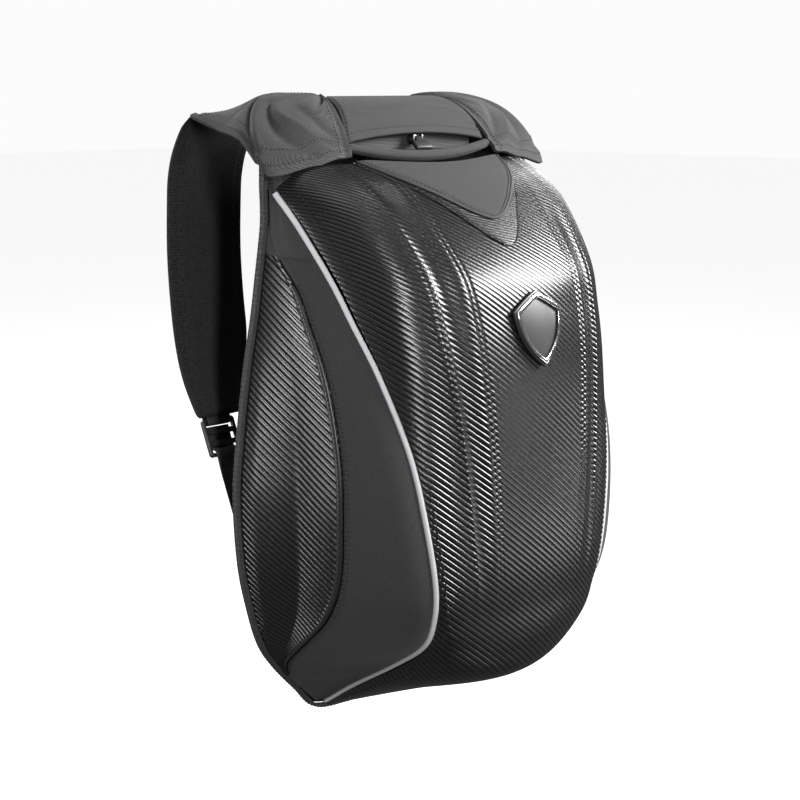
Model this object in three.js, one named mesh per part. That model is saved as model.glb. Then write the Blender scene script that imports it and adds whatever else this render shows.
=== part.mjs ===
// Hard shell motorcycling backpack, held in the form it has when worn.
// A moulded shell is sewn between two woven side panels, each with a moulded inset.
// A flat padded back panel closes the bag and a bound edge runs all round it.
// A woven yoke covers the top: its middle holds the zipped slit and its two wings
// run back over the shoulders into padded straps, which end in ladder locks and webbing.
//
// Millimetres, +Z up, -Y towards the shell's front, +X to the wearer's right as seen
// from the front. The origin is in the middle of the back panel's wearer side.
import * as THREE from "three";

// Driving dimensions of the bag
const HEIGHT = 500; // back panel, bottom seam to top seam
const WIDTH = 326; // across the back edge at its widest
const DEPTH = 176; // back edge to the fullest point of the shell
const EDGE_TO_BACK = 5; // the back panel's wearer side stands this far behind the back edge
const ORIGIN_UP = HEIGHT / 2;

// Walls and clearances
const SHELL_WALL = 2.5;
const SIDE_WALL = 2.5;
const INSET_WALL = 3;
const BACK_PANEL_THICK = 8;
const YOKE_WALL = 3;
const BIB_WALL = 1.8;
const CLEARANCE = 0.3;
const SEAM_GAP = 0.45; // half the gap between a side panel and its inset
const EDGE_GAP = 0.9; // from the binding to the pieces that it holds
const PIPING_GAP = 0.45; // from the piping to the shell and the side panels

// Trim
const PIPING_RADIUS = 2;
const BINDING_WIDTH = 8;
const BINDING_THICK = 3.2;
const BINDING_BEHIND = 1; // the binding's middle line lies this far behind the back edge

// Moulded relief
const BAND_RISE = 5; // raised middle band of the shell
const CREASE_RISE = 1.6; // thin crease outside each rail
const RAIL = 0.5; // share of the half width at which the band's rails stand
const RAIL_FILLET = 0.13; // share of the half width over which the band falls away
const INSET_VALLEY = 6; // fold pressed into each side inset
const FOLD_ROWS = { starts: 4, full: 7, fades: 9.5, ends: 12 }; // stations along that fold
const SIDE_FLARE = 4; // how far the side panels belly past their back edge
const FLARE_ROWS = { full: 5, fades: 9 }; // stations between which they do so in full

// Yoke, slit and zip. Distances out are from the back edge, those below from the top seam
const SEAM_TOP = 68; // half length of the yoke's middle panel at its top seam
const SEAM_LOW = 86; // and at the slit
const SEAM_INSET = 1.5; // the middle panel ends this far short of the wings' first row
const SLIT = { midOut: 47, midBelow: 28.5, sideOut: 45, sideBelow: 35.5, crestOut: 34, crestBelow: 2 };
const YOKE_FOLD = 5; // gathers pressed into each wing
const LIP = { out: 46, bow: 8, below: 39.2, sag: 7.8, radius: 3.6, swell: 0.9 };
const TRACK = { half: 72, high: 21, thick: 2, out: 35, below: 32.6 };
const SLIDER = { wide: 12, high: 6, deep: 5, ear: 1.6 };
const PULL = { wide: 19, thick: 3.8, neck: 7.6, neckLong: 3.6, long: 12, bevel: 0.8 };
const PULL_BELOW = 33.4; // height of the pull's pin below the top seam
const PULL_TILT = 45; // degrees by which the pull hangs below level

// Shoulder straps
const STRAP_THICK = 10;
const STRAP_WIDTH = 78;
const STRAP_EDGE = 5; // how much thinner a strap is at its edges
const STRAP_MIDDLE = 124; // distance of a strap's middle line from the middle of the bag
const STRAP_END = 44; // width at the ladder lock
const END_MIDDLE = 137; // distance of that end and of the lock from the middle of the bag
const WEBBING_WIDTH = 26;
const WEBBING_THICK = 1.6;
const WEBBING_REACH = 34; // how far behind the back panel the webbing starts
const LOCK = { wide: 34, long: 31, thick: 3.6, slot: 5.3, pitch: 9.5, corner: 3, below: 0.3 };
const LOCK_LEAN = 22; // degrees from upright

// Badge
const BADGE = { wide: 58, high: 60, thick: 2.4, rim: 4, rimThick: 1.6 };
const BADGE_UP = 0.646; // share of HEIGHT at the badge's middle

// Stations down the bag, from the yoke to the bottom seam. Lengths are shares:
// half widths of WIDTH / 2, distances out of DEPTH, heights of HEIGHT.
// pipe is the seam between shell and side panel, mid the shell's middle line and
// back the back edge. crown is how much of the drop from mid to pipe is a smooth
// crown, the rest being the tight turn beside the seam. seam is where the side
// inset ends, as a share of the way from the back edge to the pipe, and ridge is
// how far the shell's raised band stands out, as a share of BAND_RISE.
const STATIONS = [
  { pipeHalf: 0.951, pipeOut: 0.21, pipeUp: 0.86, midOut: 0.295, midUp: 0.908, crown: 0.3, backHalf: 0.963, backOut: 0.165, backUp: 0.876, seam: 0, ridge: 0 },
  { pipeHalf: 0.936, pipeOut: 0.284, pipeUp: 0.83, midOut: 0.523, midUp: 0.868, crown: 0.25, backHalf: 0.96, backOut: 0.165, backUp: 0.84, seam: 0, ridge: 0 },
  { pipeHalf: 0.917, pipeOut: 0.352, pipeUp: 0.798, midOut: 0.676, midUp: 0.818, crown: 0.25, backHalf: 0.957, backOut: 0.159, backUp: 0.804, seam: 0.02, ridge: 0.15 },
  { pipeHalf: 0.877, pipeOut: 0.483, pipeUp: 0.728, midOut: 0.852, midUp: 0.732, crown: 0.3, backHalf: 0.957, backOut: 0.125, backUp: 0.732, seam: 0.42, ridge: 0.9 },
  { pipeHalf: 0.847, pipeOut: 0.58, pipeUp: 0.666, midOut: 0.915, midUp: 0.666, crown: 0.37, backHalf: 0.963, backOut: 0.097, backUp: 0.664, seam: 0.53, ridge: 1 },
  { pipeHalf: 0.804, pipeOut: 0.699, pipeUp: 0.586, midOut: 0.952, midUp: 0.586, crown: 0.43, backHalf: 0.979, backOut: 0.063, backUp: 0.584, seam: 0.58, ridge: 1 },
  { pipeHalf: 0.748, pipeOut: 0.818, pipeUp: 0.476, midOut: 0.974, midUp: 0.476, crown: 0.55, backHalf: 0.994, backOut: 0.028, backUp: 0.476, seam: 0.58, ridge: 0.9 },
  { pipeHalf: 0.706, pipeOut: 0.869, pipeUp: 0.38, midOut: 0.991, midUp: 0.38, crown: 0.65, backHalf: 1, backOut: 0.006, backUp: 0.38, seam: 0.565, ridge: 0.6 },
  { pipeHalf: 0.65, pipeOut: 0.886, pipeUp: 0.276, midOut: 1, midUp: 0.28, crown: 0.65, backHalf: 0.972, backOut: 0, backUp: 0.272, seam: 0.52, ridge: 0.25 },
  { pipeHalf: 0.623, pipeOut: 0.858, pipeUp: 0.214, midOut: 0.989, midUp: 0.212, crown: 0.62, backHalf: 0.914, backOut: 0, backUp: 0.192, seam: 0.42, ridge: 0.05 },
  { pipeHalf: 0.604, pipeOut: 0.784, pipeUp: 0.168, midOut: 0.968, midUp: 0.144, crown: 0.6, backHalf: 0.847, backOut: 0, backUp: 0.132, seam: 0.25, ridge: 0 },
  { pipeHalf: 0.571, pipeOut: 0.585, pipeUp: 0.122, midOut: 0.86, midUp: 0.086, crown: 0.6, backHalf: 0.748, backOut: 0, backUp: 0.088, seam: 0.08, ridge: 0 },
  { pipeHalf: 0.515, pipeOut: 0.284, pipeUp: 0.062, midOut: 0.5, midUp: 0.046, crown: 0.6, backHalf: 0.601, backOut: 0, backUp: 0.04, seam: 0, ridge: 0 },
  { pipeHalf: 0.454, pipeOut: 0.045, pipeUp: 0.01, midOut: 0.04, midUp: -0.01, crown: 0.6, backHalf: 0.466, backOut: 0, backUp: 0, seam: 0, ridge: 0 },
];
const ROWS = STATIONS.length - 1;
const CORNER_POWER = 12; // sharpness of the turn beside the pipe
const TOP_DIP = 0.45; // rows by which the shell's top edge dips in the middle

// The back edge above the stations, and below them, in the same shares
const BACK_TOP = [
  { half: 0.92, out: 0.136, up: 0.922 },
  { half: 0.785, out: 0.08, up: 0.96 },
  { half: 0.583, out: 0.028, up: 0.982 },
  { half: 0.307, out: 0.006, up: 0.99 },
];
const BACK_BOTTOM = [{ half: 0.23, out: 0, up: -0.009 }];

// The bib's half width at the rows that it shares with the shell, as a share of SEAM_LOW
const BIB = [{ half: 1 }, { half: 0.95 }, { half: 0.83 }, { half: 0.66 }, { half: 0.45 }, { half: 0.12 }];

// One wing, from the yoke's middle panel (first row) to the strap (last row): its front
// edge, its middle and its back edge. half is a share of WIDTH / 2, out of DEPTH, up of HEIGHT
const WING = [
  { frontHalf: 0.54, frontOut: 0.316, frontUp: 0.912, midHalf: 0.479, midOut: 0.165, midUp: 0.977, backHalf: 0.424, backOut: 0.023, backUp: 1.0 },
  { frontHalf: 0.767, frontOut: 0.299, frontUp: 0.9, midHalf: 0.65, midOut: 0.159, midUp: 0.979, backHalf: 0.436, backOut: 0, backUp: 1.003 },
  { frontHalf: 1.012, frontOut: 0.259, frontUp: 0.884, midHalf: 0.834, midOut: 0.102, midUp: 0.975, backHalf: 0.451, backOut: -0.023, backUp: 1.005 },
  { frontHalf: 1.037, frontOut: 0.176, frontUp: 0.906, midHalf: 0.86, midOut: 0.034, midUp: 0.986, backHalf: 0.463, backOut: -0.068, backUp: 1.004 },
  { frontHalf: 1.025, frontOut: 0.063, frontUp: 0.938, midHalf: 0.81, midOut: -0.045, midUp: 0.995, backHalf: 0.475, backOut: -0.136, backUp: 1.003 },
  { frontHalf: 1.012, frontOut: -0.074, frontUp: 0.953, midHalf: 0.764, midOut: -0.136, midUp: 0.991, backHalf: 0.485, backOut: -0.199, backUp: 0.998 },
  { frontHalf: 1, frontOut: -0.256, frontUp: 0.975, midHalf: 0.76, midOut: -0.256, midUp: 0.975, backHalf: 0.521, backOut: -0.256, backUp: 0.975 },
];
// Gathers of a wing: along from the middle panel to the strap, across from the front edge
// to the back edge, all as shares; rise is a share of YOKE_FOLD
const WING_FOLDS = [
  { along: 0.18, across: 0.28, lean: 0.5, width: 0.07, rise: -1 },
  { along: 0.28, across: 0.6, lean: 0.1, width: 0.06, rise: -0.8 },
  { along: 0.42, across: 0.35, lean: 0.35, width: 0.08, rise: 0.7 },
];

// The strap's outer face from the wing down to the ladder lock: how far behind the back
// edge as a share of DEPTH, height as a share of HEIGHT
const STRAP = [
  { behind: 0.268, up: 0.9705 },
  { behind: 0.341, up: 0.951 },
  { behind: 0.403, up: 0.918 },
  { behind: 0.438, up: 0.878 },
  { behind: 0.449, up: 0.836 },
  { behind: 0.455, up: 0.756 },
  { behind: 0.44, up: 0.676 },
  { behind: 0.412, up: 0.606 },
  { behind: 0.375, up: 0.552 },
  { behind: 0.312, up: 0.504 },
  { behind: 0.285, up: 0.49 },
];
// The webbing from the ladder lock to the back panel: half and up as above, off as a
// share of WEBBING_REACH
const WEBBING = [
  { half: 0.85, off: 0.7, up: 0.412 },
  { half: 0.862, off: 0.43, up: 0.378 },
  { half: 0.87, off: 0.22, up: 0.35 },
  { half: 0.876, off: 0.07, up: 0.326 },
  { half: 0.88, off: 0, up: 0.304 },
  { half: 0.88, off: 0, up: 0.276 },
];

// A point of the bag from its distance across, out from the back edge and up
function at(across, out, up) {
  return new THREE.Vector3(across, -out - EDGE_TO_BACK, up - ORIGIN_UP);
}

// A table's column at a row number that need not be whole, on a smooth curve through the rows
function column(rows, key, row) {
  const low = Math.min(Math.max(Math.floor(row), 0), rows.length - 2);
  const f = row - low;
  const b = rows[low][key];
  const c = rows[low + 1][key];
  const a = low > 0 ? rows[low - 1][key] : 2 * b - c;
  const d = low + 2 < rows.length ? rows[low + 2][key] : 2 * c - b;
  const bend = 2 * a - 5 * b + 4 * c - d;
  return b + 0.5 * f * (c - a + f * (bend + f * (3 * (b - c) + d - a)));
}

function smoothstep(low, high, x) {
  const f = Math.min(Math.max((x - low) / (high - low), 0), 1);
  return f * f * (3 - 2 * f);
}

function bump(x) {
  return Math.exp(-x * x);
}

function spread(low, high, count) {
  return Array.from({ length: count + 1 }, (_, i) => low + ((high - low) * i) / count);
}

// The normal of a surface given as a function of two shares
function normalOf(surface, u, v) {
  const step = 1e-4;
  const du = surface(u + step, v).sub(surface(u - step, v));
  const dv = surface(u, v + step).sub(surface(u, v - step));
  return du.cross(dv).normalize();
}

// A closed body between two grids of points with the same rows and columns
function body(outer, inner, closed = false) {
  const rows = outer.length;
  const cols = outer[0].length;
  const points = [...outer.flat(), ...inner.flat()];
  const id = (side, i, j) => side * rows * cols + (i % rows) * cols + j;
  const faces = [];
  const quad = (a, b, c, d) => faces.push(a, b, c, a, c, d);
  const lastRow = closed ? rows : rows - 1;
  for (let i = 0; i < lastRow; i++) {
    for (let j = 0; j < cols - 1; j++) {
      quad(id(0, i, j), id(0, i + 1, j), id(0, i + 1, j + 1), id(0, i, j + 1));
      quad(id(1, i, j), id(1, i, j + 1), id(1, i + 1, j + 1), id(1, i + 1, j));
    }
    quad(id(0, i, 0), id(1, i, 0), id(1, i + 1, 0), id(0, i + 1, 0));
    quad(id(0, i, cols - 1), id(0, i + 1, cols - 1), id(1, i + 1, cols - 1), id(1, i, cols - 1));
  }
  if (!closed) {
    for (let j = 0; j < cols - 1; j++) {
      quad(id(0, 0, j), id(0, 0, j + 1), id(1, 0, j + 1), id(1, 0, j));
      quad(id(0, rows - 1, j), id(1, rows - 1, j), id(1, rows - 1, j + 1), id(0, rows - 1, j + 1));
    }
  }
  return solid(points, faces);
}

function solid(points, faces) {
  const geometry = new THREE.BufferGeometry();
  const flat = points.flatMap((p) => p.toArray());
  geometry.setAttribute("position", new THREE.Float32BufferAttribute(flat, 3));
  geometry.setIndex(volumeOf(points, faces) > 0 ? faces : faces.toReversed());
  geometry.computeVertexNormals();
  return geometry;
}

function volumeOf(points, faces) {
  let six = 0;
  for (let k = 0; k < faces.length; k += 3) {
    const [a, b, c] = [points[faces[k]], points[faces[k + 1]], points[faces[k + 2]]];
    six += a.dot(b.clone().cross(c));
  }
  return six / 6;
}

// A sheet of even wall on a surface. columnsAt(u) lists the shares across at share u,
// top and bottom are the distances of its two faces from the surface, outwards positive
function sheet(surface, us, columnsAt, top, bottom, outwards) {
  const grid = (lift) =>
    us.map((u) =>
      columnsAt(u).map((v) => {
        const normal = normalOf(surface, u, v);
        const side = Math.sign(normal.dot(outwards(u, v)));
        return surface(u, v).addScaledVector(normal, side * lift);
      }),
    );
  return body(grid(top), grid(bottom));
}

// A closed body through rings of points, with the same number of points in each ring
function loft(rings) {
  const sides = rings[0].length;
  const points = rings.flat();
  const faces = [];
  for (let i = 0; i < rings.length - 1; i++) {
    for (let j = 0; j < sides; j++) {
      const [a, b] = [i * sides + j, i * sides + ((j + 1) % sides)];
      faces.push(a, b, b + sides, a, b + sides, a + sides);
    }
  }
  const last = (rings.length - 1) * sides;
  for (let j = 1; j < sides - 1; j++) {
    faces.push(0, j + 1, j);
    faces.push(last, last + j, last + j + 1);
  }
  return solid(points, faces);
}

// Rings of a rod along points; radiusAt(i) is its radius at each of them
function rod(points, sides, radiusAt) {
  return loft(
    points.map((point, i) => {
      const before = points[Math.max(i - 1, 0)];
      const after = points[Math.min(i + 1, points.length - 1)];
      const along = after.clone().sub(before).normalize();
      const first = new THREE.Vector3(0, 0, 1).cross(along).normalize();
      const second = along.clone().cross(first);
      return spread(0, 2 * Math.PI, sides)
        .slice(0, sides)
        .map((turn) =>
          point
            .clone()
            .addScaledVector(first, radiusAt(i) * Math.cos(turn))
            .addScaledVector(second, radiusAt(i) * Math.sin(turn)),
        );
    }),
  );
}

const group = new THREE.Group();

function add(name, geometry, material) {
  const mesh = new THREE.Mesh(geometry, material);
  mesh.name = name;
  group.add(mesh);
  return mesh;
}

const matt = (color, roughness) => new THREE.MeshStandardMaterial({ color, roughness, metalness: 0 });
const MOULDED = matt(0x16171a, 0.35);
const NYLON = matt(0x3a3a3d, 0.85);
const LINING = matt(0x111113, 0.95);
const TAPE = matt(0x262628, 0.8);
const REFLECTIVE = matt(0xb9bcc0, 0.5);
const PLASTIC = matt(0x141416, 0.4);
const GUNMETAL = new THREE.MeshStandardMaterial({ color: 0x3c3e42, roughness: 0.35, metalness: 1 });
const CHROME = new THREE.MeshStandardMaterial({ color: 0xe2e4e8, roughness: 0.12, metalness: 1 });

const halfWidth = WIDTH / 2;
const station = (key, row) => column(STATIONS, key, row);

// The seam between the shell and a side panel
function pipeAt(side, row) {
  return at(
    side * station("pipeHalf", row) * halfWidth,
    station("pipeOut", row) * DEPTH,
    station("pipeUp", row) * HEIGHT,
  );
}

// The shell's outer face: row down the stations, v from -1 at one pipe to 1 at the other.
// Its top edge dips in the middle, under the lip
function shellFace(level, v) {
  const row = level + TOP_DIP * (1 - v * v) ** 3 * (1 - smoothstep(0, 1.5, level));
  const pipe = pipeAt(1, row);
  const crown = station("crown", row);
  const across = Math.abs(v);
  const share = crown * across ** 2 + (1 - crown) * across ** CORNER_POWER;
  const mid = at(0, station("midOut", row) * DEPTH, station("midUp", row) * HEIGHT);
  const ahead = at(0, station("midOut", row + 0.01) * DEPTH, station("midUp", row + 0.01) * HEIGHT);
  const along = ahead.sub(mid).normalize();
  const outwards = new THREE.Vector3(0, along.z, -along.y);
  const band = 1 - smoothstep(RAIL, RAIL + RAIL_FILLET, across);
  const crease = bump((across - RAIL - 1.4 * RAIL_FILLET) / 0.025);
  const rise = station("ridge", row) * (BAND_RISE * band + CREASE_RISE * crease);
  const point = mid.lerp(pipe, share).addScaledVector(outwards, rise);
  point.x = v * pipe.x;
  return point;
}

// The side panel's outer face: w from 0 at the back edge to 1 at the pipe
function sideFace(side, row, w) {
  const start = at(
    side * station("backHalf", row) * halfWidth,
    station("backOut", row) * DEPTH + BINDING_WIDTH / 2 - BINDING_BEHIND + EDGE_GAP,
    station("backUp", row) * HEIGHT,
  );
  const end = pipeAt(side, row);
  const flank = start.clone().lerp(end, 0.36);
  const shoulder = start.clone().lerp(end, 0.96);
  flank.x = start.x + side * SIDE_FLARE * smoothstep(0, FLARE_ROWS.full, row) * smoothstep(ROWS, FLARE_ROWS.fades, row);
  shoulder.x = start.x;
  return new THREE.CubicBezierCurve3(start, flank, shoulder, end).getPoint(w);
}

const seamAt = (row) => Math.max(station("seam", row), 0);

function insetFace(side, row, w) {
  const point = sideFace(side, row, w);
  const share = w / Math.max(seamAt(row), 0.01);
  const fold = Math.max(1 - Math.abs(share - 0.55) / 0.4, 0);
  const ends = smoothstep(FOLD_ROWS.starts, FOLD_ROWS.full, row) * smoothstep(FOLD_ROWS.ends, FOLD_ROWS.fades, row);
  point.x -= side * INSET_VALLEY * fold * ends;
  return point;
}

// Share of a side panel's girth that a length takes up at one row
function girthShare(side, row, length) {
  return length / sideFace(side, row, 0).distanceTo(sideFace(side, row, 1));
}

// The share across a face, 1 being at the pipe, at which a wall on it stops clear of the piping
function shareBesidePipe(face, row, wall) {
  const step = 0.01;
  const pipe = face(row, 1);
  const along = face(row + step, 1).sub(face(row - step, 1)).normalize();
  const away = (point) => point.sub(pipe).projectOnPlane(along).length();
  const clear = (share) => {
    const normal = normalOf(face, row, share);
    const side = Math.sign(normal.dot(outOfBag(face)(row, share)));
    const inner = face(row, share).addScaledVector(normal, -side * wall);
    return Math.min(away(face(row, share)), away(inner)) > PIPING_RADIUS + PIPING_GAP;
  };
  let share = 1 - step / 4;
  while (!clear(share)) share -= step / 4;
  return share;
}

const HEART = at(0, DEPTH / 3, HEIGHT / 2);
const outOfBag = (surface) => (u, v) => surface(u, v).sub(HEART);

// The rows at which shell, side panels and piping are all cut, so that their facets line up
const TOP_ROW = 0.1;
const bagRows = [...spread(TOP_ROW, 5, 11), ...spread(5.6, 8, 4), ...spread(8.5, ROWS, 10)];

// Shell. Its edges stop short of the piping, its top edge lies under the yoke's lip
const SHELL_COLUMNS = [0, 0.5, 0.9, 1.02, 1.13, 1.24, 1.34, 1.44, 1.66, 1.84, 1.94, 2];
function shellColumns(row) {
  const edge = shareBesidePipe(shellFace, row, SHELL_WALL);
  const half = SHELL_COLUMNS.map((k) => (k <= 1 ? RAIL * k : RAIL + (edge - RAIL) * (k - 1)));
  return [...half.slice(1).map((v) => -v).reverse(), ...half];
}
const UNDER_YOKE = 0; // the shell's first row, under the wings
const shellRows = [UNDER_YOKE, ...bagRows];
add("shell", sheet(shellFace, shellRows, shellColumns, 0, -SHELL_WALL, outOfBag(shellFace)), MOULDED);

// Side panels, insets and piping
const INSET_TIP = { top: 2.5, bottom: 8 }; // narrowest widths of the inset
for (const [name, side] of [["right", 1], ["left", -1]]) {
  const gusset = (row, w) => sideFace(side, row, w);
  const hasInset = (row) => seamAt(row) > girthShare(side, row, row < 7 ? INSET_TIP.top : INSET_TIP.bottom);
  const gussetColumns = (row) => {
    const low = hasInset(row) ? seamAt(row) + girthShare(side, row, SEAM_GAP) : 0;
    const high = shareBesidePipe(gusset, row, SIDE_WALL);
    return spread(low, high, 5);
  };
  const gussetRows = bagRows.filter((row) => row > 0.3 && row < ROWS - 0.3);
  add(`side_panel_${name}`, sheet(gusset, gussetRows, gussetColumns, 0, -SIDE_WALL, outOfBag(gusset)), NYLON);

  const inset = (row, w) => insetFace(side, row, w);
  const insetRows = bagRows.filter(hasInset);
  const insetColumns = (row) => {
    return spread(0, seamAt(row) - girthShare(side, row, SEAM_GAP), 5);
  };
  add(`side_inset_${name}`, sheet(inset, insetRows, insetColumns, 0, -INSET_WALL, outOfBag(gusset)), MOULDED);

  const pipe = bagRows.map((row) => pipeAt(side, row));
  add(`piping_${name}`, rod(pipe, 8, () => PIPING_RADIUS), REFLECTIVE);
}

// The back edge, from the middle of the bottom up one side to the middle of the top
const backEdge = [
  ...BACK_BOTTOM,
  ...STATIONS.map((s) => ({ half: s.backHalf, out: s.backOut, up: s.backUp })).reverse(),
  ...BACK_TOP,
];
const EDGE_ROWS = backEdge.length - 1;
function edgeAt(side, row, inset) {
  const point = (r) =>
    at(
      side * column(backEdge, "half", r) * halfWidth,
      column(backEdge, "out", r) * DEPTH,
      column(backEdge, "up", r) * HEIGHT,
    );
  const along = point(row + 0.01).sub(point(row - 0.01));
  const inwards = new THREE.Vector3(-side * along.z, 0, side * along.x).normalize();
  return point(row).addScaledVector(inwards, inset);
}

const backRows = spread(0, EDGE_ROWS, 27);

// Back panel: flat where it meets the wearer, its side edges following the back edge
const FLAT_SHARE = 0.55;
const backSlices = [-1, -0.86, -0.7, -FLAT_SHARE, 0, FLAT_SHARE, 0.7, 0.86, 1];
function backGrid(out) {
  return backRows.map((row) => {
    const edge = edgeAt(1, row, BINDING_THICK / 2 + CLEARANCE);
    const sweep = -edge.y - EDGE_TO_BACK;
    return backSlices.map((v) => {
      const bend = Math.max((Math.abs(v) - FLAT_SHARE) / (1 - FLAT_SHARE), 0) ** 1.5;
      return new THREE.Vector3(v * edge.x, -out - sweep * bend, edge.z);
    });
  });
}
add("back_panel", body(backGrid(BACK_PANEL_THICK), backGrid(0)), LINING);

// Binding: a folded tape all round the back edge
const loop = [
  ...backRows.map((row) => ({ side: 1, row })),
  ...backRows.map((row) => ({ side: -1, row })).reverse(),
];
function bindingGrid(inset) {
  return loop.map(({ side, row }) => {
    const point = edgeAt(side, row, inset);
    const low = point.clone();
    const high = point.clone();
    low.y += BINDING_BEHIND + BINDING_WIDTH / 2;
    high.y += BINDING_BEHIND - BINDING_WIDTH / 2;
    return [low, high];
  });
}
add("back_binding", body(bindingGrid(-BINDING_THICK / 2), bindingGrid(BINDING_THICK / 2), true), TAPE);

// Bib: a rounded woven triangle over the top of the shell
const bibRows = shellRows.slice(0, BIB.length);
function bibColumns(row) {
  const half = (BIB[bibRows.indexOf(row)].half * SEAM_LOW) / pipeAt(1, row).x;
  return spread(-half, half, 8);
}
const bibLift = CLEARANCE * 2;
add("bib", sheet(shellFace, bibRows, bibColumns, bibLift + BIB_WALL, bibLift, outOfBag(shellFace)), NYLON);

// Yoke: its middle panel, from the slit's upper lip over the top to the back edge
function yokeFace(share, s) {
  const arch = (low, high) => low + (high - low) * (1 - s * s);
  const front = at(0, arch(SLIT.sideOut, SLIT.midOut), HEIGHT - arch(SLIT.sideBelow, SLIT.midBelow));
  const crest = at(0, SLIT.crestOut, HEIGHT - SLIT.crestBelow);
  const back = at(0, BINDING_WIDTH / 2, HEIGHT);
  const point = new THREE.QuadraticBezierCurve3(front, crest, back).getPoint(share);
  point.x = s * (SEAM_LOW - SEAM_INSET + (SEAM_TOP - SEAM_LOW) * share);
  return point;
}
add("yoke_panel", sheet(yokeFace, spread(0, 1, 8), () => spread(-1, 1, 8), 0, -YOKE_WALL, outOfBag(yokeFace)), NYLON);

// Rolled lip below the slit
const lipShares = spread(-1, 1, 12);
const lipPoints = lipShares.map((s) =>
  at(s * (SEAM_LOW - SEAM_INSET), LIP.out + LIP.bow * (1 - s * s), HEIGHT - LIP.below - LIP.sag * (1 - s * s)),
);
const lipRadius = (i) => LIP.radius + LIP.swell * (1 - lipShares[i] ** 2);
add("slit_lip", rod(lipPoints, 8, lipRadius), NYLON);

// Wings, straps, ladder locks and webbing, one of each to a side
function throughThree(front, mid, back, b) {
  return front
    .clone()
    .multiplyScalar(2 * (b - 0.5) * (b - 1))
    .addScaledVector(mid, 4 * b * (1 - b))
    .addScaledVector(back, 2 * b * (b - 0.5));
}

function wingFace(side, row, b) {
  const edge = (name) =>
    at(
      side * column(WING, `${name}Half`, row) * halfWidth,
      column(WING, `${name}Out`, row) * DEPTH,
      column(WING, `${name}Up`, row) * HEIGHT,
    );
  const point = throughThree(edge("front"), edge("mid"), edge("back"), b);
  const along = row / (WING.length - 1);
  for (const fold of WING_FOLDS) {
    const offset = along - fold.along - fold.lean * (b - fold.across);
    const rise = fold.rise * YOKE_FOLD * bump(offset / fold.width) * bump((b - fold.across) / 0.22);
    point.addScaledVector(at(side * halfWidth, 0, HEIGHT).sub(HEART).normalize(), rise);
  }
  return point;
}

// The strap's outer face; its path lies in a plane across the bag
function strapPoint(row) {
  return at(0, -column(STRAP, "behind", row) * DEPTH, column(STRAP, "up", row) * HEIGHT);
}
const STRAP_ROWS = STRAP.length - 1;
const strapColumns = [-1, -0.93, -0.5, 0, 0.5, 0.93, 1];
function strapGrid(side, liftAt) {
  return spread(0, STRAP_ROWS, 18).map((row) => {
    const along = strapPoint(row + 0.01).sub(strapPoint(row - 0.01)).normalize();
    const inwards = new THREE.Vector3(0, along.z, -along.y);
    const taper = smoothstep(STRAP_ROWS - 3.5, STRAP_ROWS, row);
    const middle = STRAP_MIDDLE + (END_MIDDLE - STRAP_MIDDLE) * taper;
    const width = STRAP_WIDTH + (STRAP_END - STRAP_WIDTH) * taper;
    return strapColumns.map((s) => {
      const point = strapPoint(row).addScaledVector(inwards, liftAt(row, s));
      point.x = side * (middle + (s * width) / 2);
      return point;
    });
  });
}
const rounding = (s) => (STRAP_EDGE / 2) * s ** 8;
const strapThick = (row) => YOKE_WALL + (STRAP_THICK - YOKE_WALL) * smoothstep(0, 2, row);

function lockShape() {
  const shape = new THREE.Shape();
  const [w, l, c] = [LOCK.wide / 2, LOCK.long / 2, LOCK.corner];
  shape.moveTo(-w, -l + c).lineTo(-w + c, -l).lineTo(w - c, -l).lineTo(w, -l + c);
  shape.lineTo(w, l - c).lineTo(w - c, l).lineTo(-w + c, l).lineTo(-w, l - c);
  for (const middle of [-LOCK.pitch, 0, LOCK.pitch]) {
    const hole = new THREE.Path();
    const [x, y] = [WEBBING_WIDTH / 2 + 1, LOCK.slot / 2];
    hole.moveTo(-x, middle - y).lineTo(-x, middle + y).lineTo(x, middle + y).lineTo(x, middle - y);
    shape.holes.push(hole);
  }
  return new THREE.ExtrudeGeometry(shape, { depth: LOCK.thick, bevelEnabled: false });
}

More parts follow.
